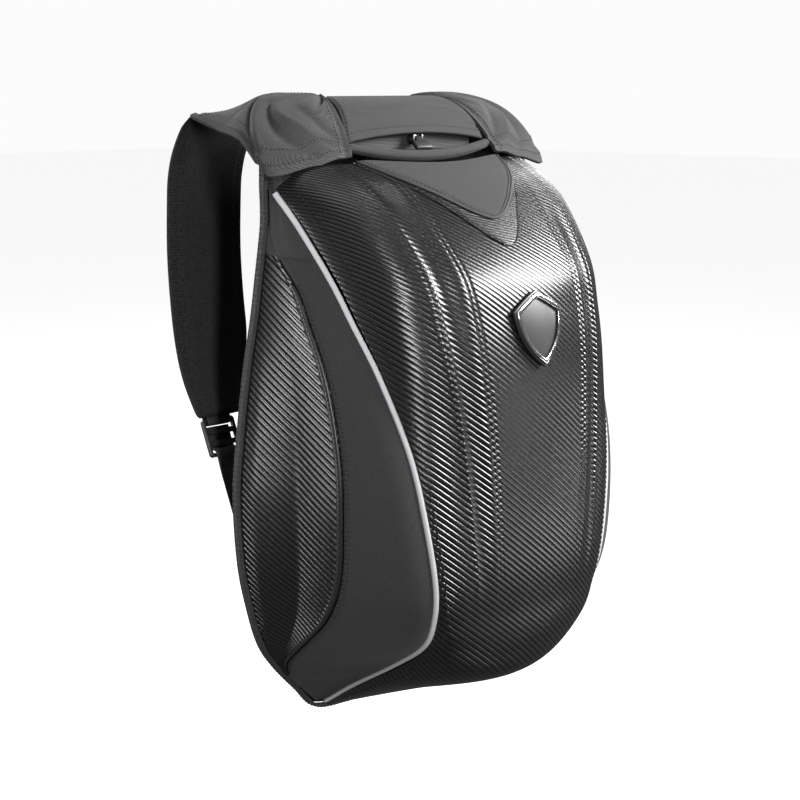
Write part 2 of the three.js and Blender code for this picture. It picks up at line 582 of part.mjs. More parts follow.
for (const [name, side] of [["right", 1], ["left", -1]]) {
  const wing = (row, b) => wingFace(side, row, b);
  const wingRows = spread(0, WING.length - 1, 16);
  add(`yoke_wing_${name}`, sheet(wing, wingRows, () => spread(0, 1, 8), 0, -YOKE_WALL, outOfBag(wing)), NYLON);

  const outer = strapGrid(side, (row, s) => rounding(s));
  const lining = strapGrid(side, (row, s) => strapThick(row) - rounding(s));
  add(`shoulder_strap_${name}`, body(outer, lining), LINING);

  // The lock hangs below the strap's end, steeper than the strap
  const lean = THREE.MathUtils.degToRad(LOCK_LEAN);
  const along = new THREE.Vector3(0, -Math.sin(lean), -Math.cos(lean));
  const outwards = new THREE.Vector3(0, Math.cos(lean), -Math.sin(lean));
  const lockMiddle = strapPoint(STRAP_ROWS).addScaledVector(along, LOCK.long / 2 + LOCK.below);
  lockMiddle.x = side * END_MIDDLE;
  const lock = add(`ladder_lock_${name}`, lockShape(), PLASTIC);
  lock.rotation.x = Math.atan2(along.z, along.y);
  lock.position.copy(lockMiddle).addScaledVector(outwards, -LOCK.thick / 2);

  // The webbing lies on the lock, goes down through its last slot and on to the back panel
  const fromLock = (down, out) =>
    lockMiddle.clone().addScaledVector(along, down).addScaledVector(outwards, out);
  const over = (LOCK.thick + WEBBING_THICK) / 2 + CLEARANCE;
  const cross = LOCK.slot * 0.4;
  const line = [
    fromLock(-LOCK.pitch, over),
    fromLock(LOCK.pitch - cross, over),
    fromLock(LOCK.pitch + cross, -over),
    ...WEBBING.map(({ half, off, up }) => {
      const seat = EDGE_TO_BACK + CLEARANCE + WEBBING_THICK / 2;
      return at(side * half * halfWidth, -seat - off * WEBBING_REACH, up * HEIGHT);
    }),
  ];
  const strip = (lift) =>
    line.map((point, i) => {
      const into = point.clone().sub(line[Math.max(i - 1, 0)]).setX(0).normalize();
      const from = line[Math.min(i + 1, line.length - 1)].clone().sub(point).setX(0).normalize();
      const run = into.clone().add(from).normalize();
      const mitre = run.dot(from.lengthSq() > 0 ? from : into);
      const out = new THREE.Vector3(0, -run.z, run.y).multiplyScalar(lift / mitre);
      return [-1, 1].map((s) => {
        const edge = point.clone().add(out);
        edge.x += (s * WEBBING_WIDTH) / 2;
        return edge;
      });
    });
  add(`webbing_${name}`, body(strip(WEBBING_THICK / 2), strip(-WEBBING_THICK / 2)), TAPE);
}

// Zip: a closed track behind the slit, a slider with two ears and the pull between them
const track = (lift) =>
  spread(-1, 1, 8).map((s) =>
    [-0.5, 0.5].map((b) => at(s * TRACK.half, TRACK.out + lift, HEIGHT - TRACK.below + b * TRACK.high)),
  );
add("zip_track", body(track(TRACK.thick / 2), track(-TRACK.thick / 2)), TAPE);

const sliderBack = TRACK.out + TRACK.thick / 2 + CLEARANCE;
const pinOut = sliderBack + SLIDER.deep + PULL.thick / 2 + 2 * CLEARANCE;
const pin = at(0, pinOut, HEIGHT - PULL_BELOW);
const ear = PULL.neck / 2 + CLEARANCE;
const [sliderHalf, sliderFront] = [SLIDER.wide / 2, sliderBack + SLIDER.deep];
const plan = new THREE.Shape();
plan.moveTo(-sliderHalf, -sliderBack).lineTo(-sliderHalf, -pinOut - SLIDER.ear);
plan.lineTo(-ear, -pinOut - SLIDER.ear).lineTo(-ear, -sliderFront).lineTo(ear, -sliderFront);
plan.lineTo(ear, -pinOut - SLIDER.ear).lineTo(sliderHalf, -pinOut - SLIDER.ear);
plan.lineTo(sliderHalf, -sliderBack);
const sliderBody = new THREE.ExtrudeGeometry(plan, { depth: SLIDER.high, bevelEnabled: false });
add("zip_slider", sliderBody, GUNMETAL).position.copy(at(0, 0, pin.z + ORIGIN_UP - SLIDER.high / 2));

const pullRing = ({ out, wide, thick }) => {
  const [w, t] = [(wide * PULL.wide) / 2, (thick * PULL.thick) / 2];
  const [cw, ct] = [w - PULL.bevel, t - Math.min(PULL.bevel, t / 2)];
  const corners = [[cw, -t], [w, -ct], [w, ct], [cw, t], [-cw, t], [-w, ct], [-w, -ct], [-cw, -t]];
  return corners.map(([x, z]) => new THREE.Vector3(x, -out, z));
};
const neck = PULL.neck / PULL.wide;
const pullRings = [
  { out: -PULL.thick / 2, wide: neck, thick: 0.3 },
  { out: -PULL.thick / 2.6, wide: neck, thick: 0.65 },
  { out: 0, wide: neck, thick: 0.95 },
  { out: PULL.neckLong, wide: neck, thick: 0.95 },
  { out: PULL.neckLong + 1, wide: 1, thick: 1 },
  { out: PULL.long - 1, wide: 1, thick: 1 },
  { out: PULL.long, wide: 0.93, thick: 0.6 },
];
const pull = add("zip_pull", loft(pullRings.map(pullRing)), PLASTIC);
pull.rotation.x = THREE.MathUtils.degToRad(PULL_TILT);
pull.position.copy(pin);

// Badge: a plain shield plate with a bright rim and a small round pip
function shield(scale) {
  const shape = new THREE.Shape();
  const [w, h] = [(BADGE.wide / 2) * scale, (BADGE.high / 2) * scale];
  shape.moveTo(0, -h);
  shape.quadraticCurveTo(w * 0.95, -h * 0.45, w, h * 0.5);
  shape.quadraticCurveTo(w * 0.5, h * 0.8, 0, h);
  shape.quadraticCurveTo(-w * 0.5, h * 0.8, -w, h * 0.5);
  shape.quadraticCurveTo(-w * 0.95, -h * 0.45, 0, -h);
  return shape;
}
let badgeRow = 3;
while (shellFace(badgeRow, 0).z + ORIGIN_UP > BADGE_UP * HEIGHT) badgeRow += 0.02;
const badgeSpot = shellFace(badgeRow, 0);
const badgeNormal = normalOf(shellFace, badgeRow, 0);
badgeNormal.multiplyScalar(Math.sign(-badgeNormal.y));
const badgeLean = Math.atan2(badgeNormal.z, -badgeNormal.y);
const facing = new THREE.Euler(Math.PI / 2 - badgeLean, 0, 0);
const plate = new THREE.ExtrudeGeometry(shield(1), { depth: BADGE.thick, bevelEnabled: false, curveSegments: 6 });
const plateMesh = add("badge_plate", plate, PLASTIC);
plateMesh.rotation.copy(facing);
plateMesh.position.copy(badgeSpot).addScaledVector(badgeNormal, CLEARANCE);
const rimShape = shield(0.94);
rimShape.holes.push(new THREE.Path(shield(0.94 - (2 * BADGE.rim) / BADGE.wide).getPoints(6)));
const rim = new THREE.ExtrudeGeometry(rimShape, { depth: BADGE.rimThick, bevelEnabled: false, curveSegments: 6 });
const rimMesh = add("badge_rim", rim, CHROME);
rimMesh.rotation.copy(facing);
rimMesh.position.copy(badgeSpot).addScaledVector(badgeNormal, 2 * CLEARANCE + BADGE.thick);

export default group;
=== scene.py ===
# A hard shell backpack, held in the form that it has when worn.
# Metres, +Z up, -Y out through the front of the shell, +X to the right of someone
# who looks at the shell. The origin is in the middle of the wearer's side.
import math
from functools import cache

import bmesh
import bpy
from mathutils import Matrix, Vector


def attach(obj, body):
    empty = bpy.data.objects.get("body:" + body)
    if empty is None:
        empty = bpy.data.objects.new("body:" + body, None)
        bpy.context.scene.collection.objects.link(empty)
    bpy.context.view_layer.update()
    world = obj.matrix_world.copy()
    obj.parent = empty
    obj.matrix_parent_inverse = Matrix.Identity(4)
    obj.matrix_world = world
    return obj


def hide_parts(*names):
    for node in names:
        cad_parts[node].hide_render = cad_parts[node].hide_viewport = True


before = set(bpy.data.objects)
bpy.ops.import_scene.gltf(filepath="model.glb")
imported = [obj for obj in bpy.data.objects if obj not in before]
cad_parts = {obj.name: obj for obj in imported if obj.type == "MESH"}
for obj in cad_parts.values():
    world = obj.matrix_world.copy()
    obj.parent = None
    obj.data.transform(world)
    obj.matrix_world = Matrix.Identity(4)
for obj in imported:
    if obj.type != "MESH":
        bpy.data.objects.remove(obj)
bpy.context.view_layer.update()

# Camera: the photograph's view, from the left front and a little above the middle. The
# bag stands a little to the right of the picture's middle.
camera = bpy.data.objects.new("camera", bpy.data.cameras.new("camera"))
bpy.context.scene.collection.objects.link(camera)
camera.data.lens = 83.5
camera.data.sensor_width = 36
camera.data.clip_end = 30
VIEW_TURN, VIEW_DIP = math.radians(50), math.radians(10)
ahead = Vector((
    math.sin(VIEW_TURN) * math.cos(VIEW_DIP),
    math.cos(VIEW_TURN) * math.cos(VIEW_DIP),
    -math.sin(VIEW_DIP),
))
to_right = Vector((math.cos(VIEW_TURN), -math.sin(VIEW_TURN), 0))
to_top = to_right.cross(ahead)
# In pixels of a picture 800 wide: how far off it is, and how far its middle lies from
# the point straight ahead
FAR_PX, MIDDLE_RIGHT_PX, MIDDLE_DOWN_PX = 1855.5, -59.6, -9.3
aim = ahead * FAR_PX + to_right * MIDDLE_RIGHT_PX - to_top * MIDDLE_DOWN_PX
camera.location = (-1.1316, -1.0445, 0.2605)
camera.rotation_euler = aim.to_track_quat("-Z", "Y").to_euler()
bpy.context.scene.camera = camera


# Studio: a wide pale floor below the bag, and soft boxes. The one high at the right gives
# the shell its broad shine, the narrow one at the left draws the flank by the piping,
# and the one behind shows the wearer's side.
FLOOR_SIZE, FLOOR_LEVEL, FLOOR_GLOW = 14, -0.42, 0.9
SKY_LIGHT, SKY_SEEN = 0.09, 0.97
WHITE = (1, 1, 1, 1)


def link(name, bm):
    for face in bm.faces:
        face.smooth = True
    mesh = bpy.data.meshes.new(name)
    bm.to_mesh(mesh)
    bm.free()
    piece = bpy.data.objects.new(name, mesh)
    bpy.context.scene.collection.objects.link(piece)
    return piece


def feed(node, inputs):
    """Sets inputs by name or number, each to a value or to another node's output."""
    for key, value in inputs.items():
        if isinstance(value, bpy.types.NodeSocket):
            node.id_data.links.new(value, node.inputs[key])
        else:
            node.inputs[key].default_value = value


def add_node(beside, kind, inputs=None, output=0, **settings):
    """Adds a node to the tree that another node is in, and returns one of its outputs."""
    made = beside.id_data.nodes.new(kind)
    for key, value in settings.items():
        setattr(made, key, value)
    feed(made, inputs or {})
    return made.outputs[output]


def shader(name, color, roughness):
    material = bpy.data.materials.new(name)
    material.use_nodes = True
    bsdf = material.node_tree.nodes["Principled BSDF"]
    feed(bsdf, {"Base Color": (*color, 1), "Roughness": roughness})
    return material, bsdf


sweep = bmesh.new()
bmesh.ops.create_grid(sweep, x_segments=1, y_segments=1, size=FLOOR_SIZE)
bmesh.ops.translate(sweep, vec=(0, 0, FLOOR_LEVEL), verts=sweep.verts)
floor = link("floor", sweep)
pale, pale_surface = shader("pale_floor", (0.3, 0.3, 0.3), 1)
feed(pale_surface, {"Emission Color": WHITE, "Emission Strength": FLOOR_GLOW})
floor.data.materials.append(pale)
floor.visible_glossy = False
floor.visible_diffuse = False

# the world lights the bag only a little, and stands white behind it
world = bpy.data.worlds.new("studio")
world.use_nodes = True
sky = world.node_tree.nodes["Background"]
feed(sky, {"Color": WHITE, "Strength": SKY_LIGHT})
backdrop = add_node(sky, "ShaderNodeBackground", {"Color": WHITE, "Strength": SKY_SEEN})
seen = add_node(sky, "ShaderNodeLightPath", output="Is Camera Ray")
both = add_node(sky, "ShaderNodeMixShader", {0: seen, 1: sky.outputs[0], 2: backdrop})
feed(world.node_tree.nodes["World Output"], {"Surface": both})
bpy.context.scene.world = world
bpy.context.scene.view_settings.view_transform = "Standard"


def soft_box(name, place, target, wide, high, power):
    light = bpy.data.objects.new(name, bpy.data.lights.new(name, "AREA"))
    light.data.shape = "RECTANGLE"
    light.data.size = wide
    light.data.size_y = high
    light.data.energy = power
    light.location = place
    light.visible_camera = False
    towards = Vector(target) - Vector(place)
    light.rotation_euler = towards.to_track_quat("-Z", "Y").to_euler()
    bpy.context.scene.collection.objects.link(light)


soft_box("box_shine", (1.5, -1.15, 0.95), (0, -0.15, 0.1), 1.0, 0.7, 115)
soft_box("box_flank", (-0.98, -1.85, 0.6), (0, -0.1, 0.05), 0.22, 0.85, 45)
soft_box("box_inset", (-1.9, 0.95, 0.2), (-0.15, -0.05, 0), 0.4, 1.0, 26)
soft_box("box_right", (1.8, 0.8, 0.7), (0.1, -0.1, 0.1), 0.5, 1.0, 5)
soft_box("box_above", (-0.2, -0.4, 2.6), (0, 0, 0), 1.8, 1.8, 22)
soft_box("box_behind", (-0.5, 2.3, 1.1), (0, 0, 0), 1.4, 1.0, 75)
soft_box("box_low", (0.95, -0.9, -0.3), (0, -0.15, -0.1), 0.9, 0.14, 2.5)


# Shell: one sheet of moulded laminate with an embossed twill, sewn in between the two
# rows of piping. A raised middle band runs down it between two rails, and a smooth
# collar is pressed round the place of the bib.
HEIGHT, WIDTH, DEPTH = 0.5, 0.326, 0.176
HALF = WIDTH / 2
SIDES = (("right", 1), ("left", -1))
EDGE_TO_BACK = 0.005
# Shares of HALF, DEPTH and HEIGHT at stations from the yoke down to the bottom seam:
# pipe is the piping, mid the shell's middle line and back the bag's back edge. crown is
# how round the shell is, ridge how far its rails stand out, and seam how far an inset
# reaches from the back edge to the piping
STATIONS = {
    "pipe_half": (
        0.951, 0.936, 0.917, 0.877, 0.847, 0.804, 0.748,
        0.706, 0.65, 0.623, 0.604, 0.571, 0.515, 0.454,
    ),
    "pipe_out": (
        0.21, 0.284, 0.352, 0.483, 0.58, 0.699, 0.818,
        0.869, 0.886, 0.858, 0.784, 0.585, 0.284, 0.045,
    ),
    "pipe_up": (
        0.86, 0.83, 0.798, 0.728, 0.666, 0.586, 0.476,
        0.38, 0.276, 0.214, 0.168, 0.122, 0.062, 0.01,
    ),
    "mid_out": (
        0.295, 0.523, 0.676, 0.852, 0.915, 0.952, 0.974,
        0.991, 1, 0.989, 0.968, 0.86, 0.5, 0.04,
    ),
    "mid_up": (
        0.908, 0.868, 0.818, 0.732, 0.666, 0.586, 0.476,
        0.38, 0.28, 0.212, 0.144, 0.086, 0.046, -0.01,
    ),
    "crown": (0.3, 0.25, 0.25, 0.3, 0.37, 0.43, 0.55, 0.65, 0.65, 0.62, 0.6, 0.6, 0.6, 0.6),
    "back_half": (
        0.963, 0.96, 0.957, 0.957, 0.963, 0.979, 0.994,
        1, 0.972, 0.914, 0.847, 0.748, 0.601, 0.466,
    ),
    "back_out": (0.165, 0.165, 0.159, 0.125, 0.097, 0.063, 0.028, 0.006, 0, 0, 0, 0, 0, 0),
    "back_up": (
        0.876, 0.84, 0.804, 0.732, 0.664, 0.584, 0.476,
        0.38, 0.272, 0.192, 0.132, 0.088, 0.04, 0,
    ),
    "seam": (0, 0, 0.02, 0.42, 0.53, 0.58, 0.58, 0.565, 0.52, 0.42, 0.25, 0.08, 0, 0),
    "ridge": (0, 0, 0.15, 0.9, 1, 1, 0.9, 0.6, 0.25, 0.05, 0, 0, 0, 0),
}
ROWS = len(STATIONS["crown"]) - 1
RAIL, RAIL_FILLET, BAND_RISE = 0.5, 0.13, 0.005
CREASE, CREASE_REACH, CREASE_RISE = RAIL + 1.4 * RAIL_FILLET, 0.025, 0.0016
CORNER_POWER = 12
TOP_DIP = 0.45
PIPING_RADIUS = 0.002
HEART = Vector((0, -DEPTH / 3, 0))


def at(across, out, up):
    return Vector((across, -out - EDGE_TO_BACK, up - HEIGHT / 2))


def column(values, row):
    """The value at a row number that need not be whole, on a smooth curve."""
    low = min(max(math.floor(row), 0), len(values) - 2)
    f = row - low
    b, c = values[low], values[low + 1]
    a = values[low - 1] if low > 0 else 2 * b - c
    d = values[low + 2] if low + 2 < len(values) else 2 * c - b
    bend = 2 * a - 5 * b + 4 * c - d
    return b + 0.5 * f * (c - a + f * (bend + f * (3 * (b - c) + d - a)))


def smoothstep(low, high, x):
    f = min(max((x - low) / (high - low), 0), 1)
    return f * f * (3 - 2 * f)


def bump(x):
    return math.exp(-x * x) if abs(x) < 6 else 0


def mix(low, high, share):
    return low + (high - low) * share


@cache
def station(key, row):
    return column(STATIONS[key], row)


def line_at(table, line, side, row):
    """The point at a row of one of a table's lines, on the side given by 1 or -1."""
    half, out, up = (column(table[f"{line}_{key}"], row) for key in ("half", "out", "up"))
    return at(side * half * HALF, out * DEPTH, up * HEIGHT)


@cache
def pipe_at(side, row):
    return line_at(STATIONS, "pipe", side, row)


@cache
def mid_at(row):
    return at(0, station("mid_out", row) * DEPTH, station("mid_up", row) * HEIGHT)


def shell_face(level, v):
    across = abs(v)
    row = level + TOP_DIP * (1 - v * v) ** 3 * (1 - smoothstep(0, 1.5, level))
    crown = station("crown", row)
    share = crown * across**2 + (1 - crown) * across**CORNER_POWER
    mid = mid_at(row)
    along = (mid_at(row + 0.01) - mid).normalized()
    outwards = Vector((0, along.z, -along.y))
    band = 1 - smoothstep(RAIL, RAIL + RAIL_FILLET, across)
    crease = bump((across - CREASE) / CREASE_REACH)
    rise = station("ridge", row) * (BAND_RISE * band + CREASE_RISE * crease)
    pipe = pipe_at(1, row)
    point = mid.lerp(pipe, share) + outwards * rise
    point.x = v * pipe.x
    return point


def normal_of(face, a, b, step=1e-3):
    down = face(a + step, b) - face(a - step, b)
    across = face(a, b + step) - face(a, b - step)
    normal = down.cross(across).normalized()
    return normal if normal.dot(face(a, b) - HEART) > 0 else -normal


def shares(low, high, count):
    return [mix(low, high, i / count) for i in range(count + 1)]


def lay(name, face, downs, across_at, start=0, facing="front"):
    """A grid laid on a face. Its UV map holds metres along the face: across from the
    share start of each row, and down each column, level with the height of one row."""
    downwards = Vector((0, 1, 1) if facing == "front" else (1, 0, 1))
    rows = len(downs) - 1
    columns = len(across_at(downs[0])) - 1
    bm = bmesh.new()
    bmesh.ops.create_grid(bm, x_segments=columns, y_segments=rows, size=0.5)
    place = {}
    for vert in bm.verts:
        i = round((0.5 - vert.co.y) * rows)
        j = round((vert.co.x + 0.5) * columns)
        vert.co = face(downs[i], across_at(downs[i])[j])
        place[vert] = (i, j)
    grid = {ij: vert.co for vert, ij in place.items()}
    first = round(start * columns)
    run, drop = {}, {}

    def gap(here, there, directions):
        return ((grid[here] - grid[there]) * directions).length

    sideways = Vector((1, 1, 0))
    for i in range(rows + 1):
        run[i, first] = 0
        for j in range(first + 1, columns + 1):
            run[i, j] = run[i, j - 1] + gap((i, j), (i, j - 1), sideways)
        for j in range(first - 1, -1, -1):
            run[i, j] = run[i, j + 1] - gap((i, j), (i, j + 1), sideways)
    level = rows // 2
    for j in range(columns + 1):
        drop[level, j] = -grid[level, j].z
        for i in range(level + 1, rows + 1):
            drop[i, j] = drop[i - 1, j] + gap((i, j), (i - 1, j), downwards)
        for i in range(level - 1, -1, -1):
            drop[i, j] = drop[i + 1, j] - gap((i, j), (i + 1, j), downwards)
    layer = bm.loops.layers.uv.new("surface")
    for quad in bm.faces:
        for loop in quad.loops:
            i, j = place[loop.vert]
            loop[layer].uv = (run[i, j], drop[i, j])
    bm.normal_update()
    outside = sum(f.normal.dot(f.calc_center_median() - HEART) for f in bm.faces)
    if outside < 0:
        bmesh.ops.reverse_faces(bm, faces=bm.faces)
    return link(name, bm)


def wall(piece, thickness, round_edge=0.0004):
    solid = piece.modifiers.new("wall", "SOLIDIFY")
    solid.thickness = thickness
    solid.offset = -1
    if round_edge:
        rim = piece.modifiers.new("rim", "BEVEL")
        rim.width = round_edge
        rim.segments = 2
        rim.limit_method = "ANGLE"
        rim.angle_limit = math.radians(50)
        rim.loop_slide = False


def dress(piece, material, slot_name, *nodes, body="bag"):
    piece.data.materials.append(material)
    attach(piece, body)
    if nodes:
        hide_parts(*nodes)
    return piece


def maths(bsdf, operation, *terms):
    return add_node(bsdf, "ShaderNodeMath", dict(enumerate(terms)), operation=operation)


def waves(bsdf, along, pitch):
    return maths(bsdf, "SINE", maths(bsdf, "MULTIPLY", along, 2 * math.pi / pitch))


def face_map(bsdf):
    """The piece's own UV map: both as one, metres across and metres down."""
    uv = add_node(bsdf, "ShaderNodeUVMap", uv_map="surface")
    parts = add_node(bsdf, "ShaderNodeSeparateXYZ", {0: uv}).node
    return uv, parts.outputs[0], parts.outputs[1]


def grain(bsdf, scale, detail):
    place = add_node(bsdf, "ShaderNodeTexCoord", output="Object")
    values = {"Vector": place, "Scale": scale, "Detail": detail}
    return add_node(bsdf, "ShaderNodeTexNoise", values)


def roughen(bsdf, noise, least, spread):
    feed(bsdf, {"Roughness": maths(bsdf, "MULTIPLY_ADD", noise, spread, least)})


def carve(bsdf, height, strength, distance):
    values = {"Height": height, "Strength": strength, "Distance": distance}
    feed(bsdf, {"Normal": add_node(bsdf, "ShaderNodeBump", values)})


# Base colour from dark to light by a factor. Each material keys the factor to its relief, so its
# low parts are painted shade.
def tone_with_painted_shade(bsdf, factor, dark, light):
    values = {"Factor": factor, "A": (*dark, 1), "B": (*light, 1)}
    tone = add_node(bsdf, "ShaderNodeMix", values, "Result", data_type="RGBA")
    feed(bsdf, {"Base Color": tone})


def twill(name, slope, rib_pitch=0.0049, depth=0.0008, flank=-0.1):
    """Black laminate with ribs that drop by slope for each metre across. Their tops are
    flat where the wave is above flank."""
    material, bsdf = shader(name, (0.011, 0.011, 0.012), 0.3)
    _, across, down = face_map(bsdf)
    thread_pitch, thread_lean = 0.0013, 0.35
    line = maths(bsdf, "SUBTRACT", down, maths(bsdf, "MULTIPLY", across, slope))
    wave = waves(bsdf, line, rib_pitch)
    top = add_node(
        bsdf, "ShaderNodeMapRange", {"From Min": -1, "From Max": flank, "Value": wave},
        interpolation_type="SMOOTHSTEP",
    )
    crown = maths(bsdf, "MULTIPLY_ADD", wave, 0.14, 0.14)
    rib = maths(bsdf, "MULTIPLY_ADD", top, 0.72, crown)
    lean = maths(bsdf, "ADD", across, maths(bsdf, "MULTIPLY", down, thread_lean))
    thread = maths(bsdf, "MULTIPLY_ADD", waves(bsdf, lean, thread_pitch), 0.02, 0.98)
    relief = maths(bsdf, "MULTIPLY", rib, thread)
    carve(bsdf, relief, 0.9, depth)
    # painted shade: the ribs' grooves are darker than their tops on the one black laminate
    tone_with_painted_shade(bsdf, relief, (0.0015, 0.0015, 0.0016), (0.013, 0.013, 0.0138))
    roughen(bsdf, grain(bsdf, 900, 2), 0.2, 0.1)
    return material


shell_twill = twill("shell_twill", 0.72)


def point_down(row, wide, tip):
    """Half width, at a row of the shell, of a rounded triangle that points down."""
    return wide * max(1 - row / tip, 0) ** 0.58


INNER_LINES, LINE_REACH, LINE_DEPTH = (0.02, 0.055), 0.007, 0.0008
CREST_REACH, CREST_RISE = 0.012, 0.001
SHELL_SETBACK, SHELL_WALL = 0.0014, 0.0025


def shell_skin(row, v):
    """The shell's face with what the mould adds to it: a crest on each outer crease
    and two fine lines inside each rail."""
    lines = sum(bump((abs(v) - RAIL + inside) / LINE_REACH) for inside in INNER_LINES)
    crest = bump((abs(v) - CREASE) / CREST_REACH)
    lift = station("ridge", row) * (CREST_RISE * crest - LINE_DEPTH * lines)
    return shell_face(row, v) + normal_of(shell_face, row, v) * lift


def shell_across(row):
    """From side to side, closest together about the rails."""
    inner, outer = RAIL - 0.09, RAIL + 0.26
    edge = 1 - SHELL_SETBACK / abs(pipe_at(1, row).x)
    half = shares(0, inner, 12)[:-1] + shares(inner, outer, 60)[:-1]
    half += shares(outer, edge, 18)
    return [-v for v in reversed(half[1:])] + half


shell = lay("moulded_shell", shell_skin, shares(0, ROWS, 170), shell_across, start=0.5)
wall(shell, SHELL_WALL)
dress(shell, shell_twill, "moulded", "shell")


# Collar: a raised border of finer twill, moulded round the place of the bib. It starts
# with the bib at the yoke and runs out to a blunt point below it.
COLLAR_WIDE, COLLAR_TIP, COLLAR_RISE, COLLAR_WALL = 0.088, 2.6, 0.0013, 0.0016
TIP_CUT = 0.985


def triangle_rows(tip, last=1.0):
    """Rows that lie closer together towards the point of a triangle."""
    return [tip * (1 - (1 - t) ** 2) for t in shares(0, last, 64)]


def collar_face(row, s):
    half = min(point_down(row, COLLAR_WIDE, COLLAR_TIP), pipe_at(1, row).x)
    v = s * half / pipe_at(1, row).x
    edge = (1 - abs(s)) * half
    roll = 0.0006 * (1 - smoothstep(0, 0.0018, edge))
    groove = 0.0005 * bump((edge - 0.0034) / 0.0008)
    return shell_face(row, v) + normal_of(shell_face, row, v) * (COLLAR_RISE - roll - groove)


collar_rows = triangle_rows(COLLAR_TIP, TIP_CUT)
collar = lay("collar", collar_face, collar_rows, lambda row: shares(-1, 1, 90), start=0.5)
wall(collar, COLLAR_WALL, 0.0003)
dress(collar, twill("collar_twill", 0.3, 0.0029, 0.0005), "moulded")


# Side panels and their insets: woven nylon from the back edge to the piping, and set
# into each a moulded twill panel with a pressed fold and a smooth border, held by two
# rows of stitches. Both are sewn into the bound edge behind.
SEAM_GAP, PANEL_CLEAR = 0.00045, 0.0003
PANEL_WALL, INSET_WALL, BORDER_WALL = 0.0025, 0.003, 0.0006
SIDE_FLARE = 0.004
INSET_VALLEY = 0.006
BINDING_WIDTH, BINDING_THICK, BINDING_BEHIND = 0.008, 0.0032, 0.001
INSET_ROWS = (2.55, 11.35)
BORDER, BORDER_ROWS = 0.0052, (3.15, 10.9)
SEAM_STITCHES = (0.0019, 0.0042)


def side_face(side, row, w):
    start = at(
        side * station("back_half", row) * HALF,
        station("back_out", row) * DEPTH + BINDING_WIDTH / 2 - BINDING_BEHIND + PANEL_CLEAR,
        station("back_up", row) * HEIGHT,
    )
    end = pipe_at(side, row)
    flank = start.lerp(end, 0.36)
    shoulder = start.lerp(end, 0.96)
    flare = smoothstep(0, 5, row) * (1 - smoothstep(9, ROWS, row))
    flank.x = start.x + side * SIDE_FLARE * flare
    shoulder.x = start.x
    rest = 1 - w
    return start * rest**3 + flank * (3 * rest**2 * w) + shoulder * (3 * rest * w * w) + end * w**3


def seam_at(row):
    return max(station("seam", row), 0)


def girth(side, row):
    return (side_face(side, row, 0) - side_face(side, row, 1)).length


def inset_face(side, row, w):
    point = side_face(side, row, w)
    share = w / max(seam_at(row), 0.01)
    fold = max(1 - abs(share - 0.55) / 0.4, 0)
    point.x -= side * INSET_VALLEY * fold * smoothstep(4, 7, row) * (1 - smoothstep(9.5, 12, row))
    return point


def on(face, a, b, lift=0.0):
    """A point of a face, raised by lift, and the face's normal there."""
    normal = normal_of(face, a, b)
    return face(a, b) + normal * lift, normal


# each stitch's pitch and length
PLAIN_STITCH = (0.0036, 0.0025)
FINE_STITCH = (0.0034, 0.0024)
WIDE_STITCH = (0.0042, 0.003)
THREAD_HALF, THREAD_HIGH = 0.00042, 0.9
THREAD_LIFT = 0.0001
BATCH = 1000


def sew(name, seams, size=PLAIN_STITCH):
    """Rows of stitches, each a small bead, along lines of points with their normals."""
    pitch, long = size
    whole, bm = bmesh.new(), bmesh.new()
    few = bpy.data.meshes.new(f"{name}_few")
    bead = Matrix.Diagonal((long / 2, THREAD_HALF, THREAD_HALF * THREAD_HIGH, 1))
    for seam in seams:
        walked, spot_at = 0, pitch / 2
        for (start, start_up), (end, end_up) in zip(seam, seam[1:]):
            span = (end - start).length
            along = (end - start).normalized()
            while span > 0 and spot_at <= walked + span:
                share = (spot_at - walked) / span
                up = start_up.lerp(end_up, share).normalized()
                turn = Matrix((along, up.cross(along), up)).transposed().to_4x4()
                spot = Matrix.Translation(start.lerp(end, share))
                bmesh.ops.create_uvsphere(
                    bm, u_segments=6, v_segments=4, radius=1, matrix=spot @ turn @ bead
                )
                spot_at += pitch
                # beads are made in small batches, because each new one takes longer
                if len(bm.faces) > BATCH:
                    bm.to_mesh(few)
                    whole.from_mesh(few)
                    bm.clear()
            walked += span
    bm.to_mesh(few)
    whole.from_mesh(few)
    bm.free()
    bpy.data.meshes.remove(few)
    dress(link(name, whole), black_thread, "tape")


def weave(name, dark, light, pitch, roughness, depth=0.00025, mottle=0.25):
    """Plain weave from the piece's own UV map, with slightly uneven yarns."""
    material, bsdf = shader(name, light, roughness)
    uv, across, down = face_map(bsdf)
    wobble = add_node(bsdf, "ShaderNodeTexNoise", {"Scale": 140, "Vector": uv})
    drift = maths(bsdf, "MULTIPLY", wobble, pitch * 0.9)
    warp = waves(bsdf, maths(bsdf, "ADD", across, drift), pitch)
    weft = waves(bsdf, maths(bsdf, "ADD", down, drift), pitch)
    relief = maths(bsdf, "MULTIPLY_ADD", maths(bsdf, "MULTIPLY", warp, weft), 0.5, 0.5)
    carve(bsdf, relief, 0.8, depth)
    patches = add_node(bsdf, "ShaderNodeTexNoise", {"Scale": 700, "Detail": 4, "Vector": uv})
    uneven = maths(bsdf, "MULTIPLY_ADD", patches, mottle * 2, -mottle)
    # colour: the uneven patches are the cloth's own tone, and the darker dips between yarns are
    # painted shade
    tone_with_painted_shade(bsdf, maths(bsdf, "ADD", relief, uneven), dark, light)
    feed(bsdf, {"Sheen Weight": 0.08, "Sheen Roughness": 0.4, "Specular IOR Level": 0.22})
    return material


nylon = weave(
    "woven_nylon", (0.008, 0.008, 0.009), (0.042, 0.042, 0.044), 0.0011, 0.66, 0.0003, 0.4
)
black_thread = weave("black_thread", (0.004, 0.004, 0.004), (0.016, 0.016, 0.017), 0.0004, 0.5)
inset_twill = twill("inset_twill", 0.6, 0.0052, 0.0006, 0.3)


BORDER_SINK, BORDER_FROM = 0.0008, 0.0006
FACE_HEM = 0.0016


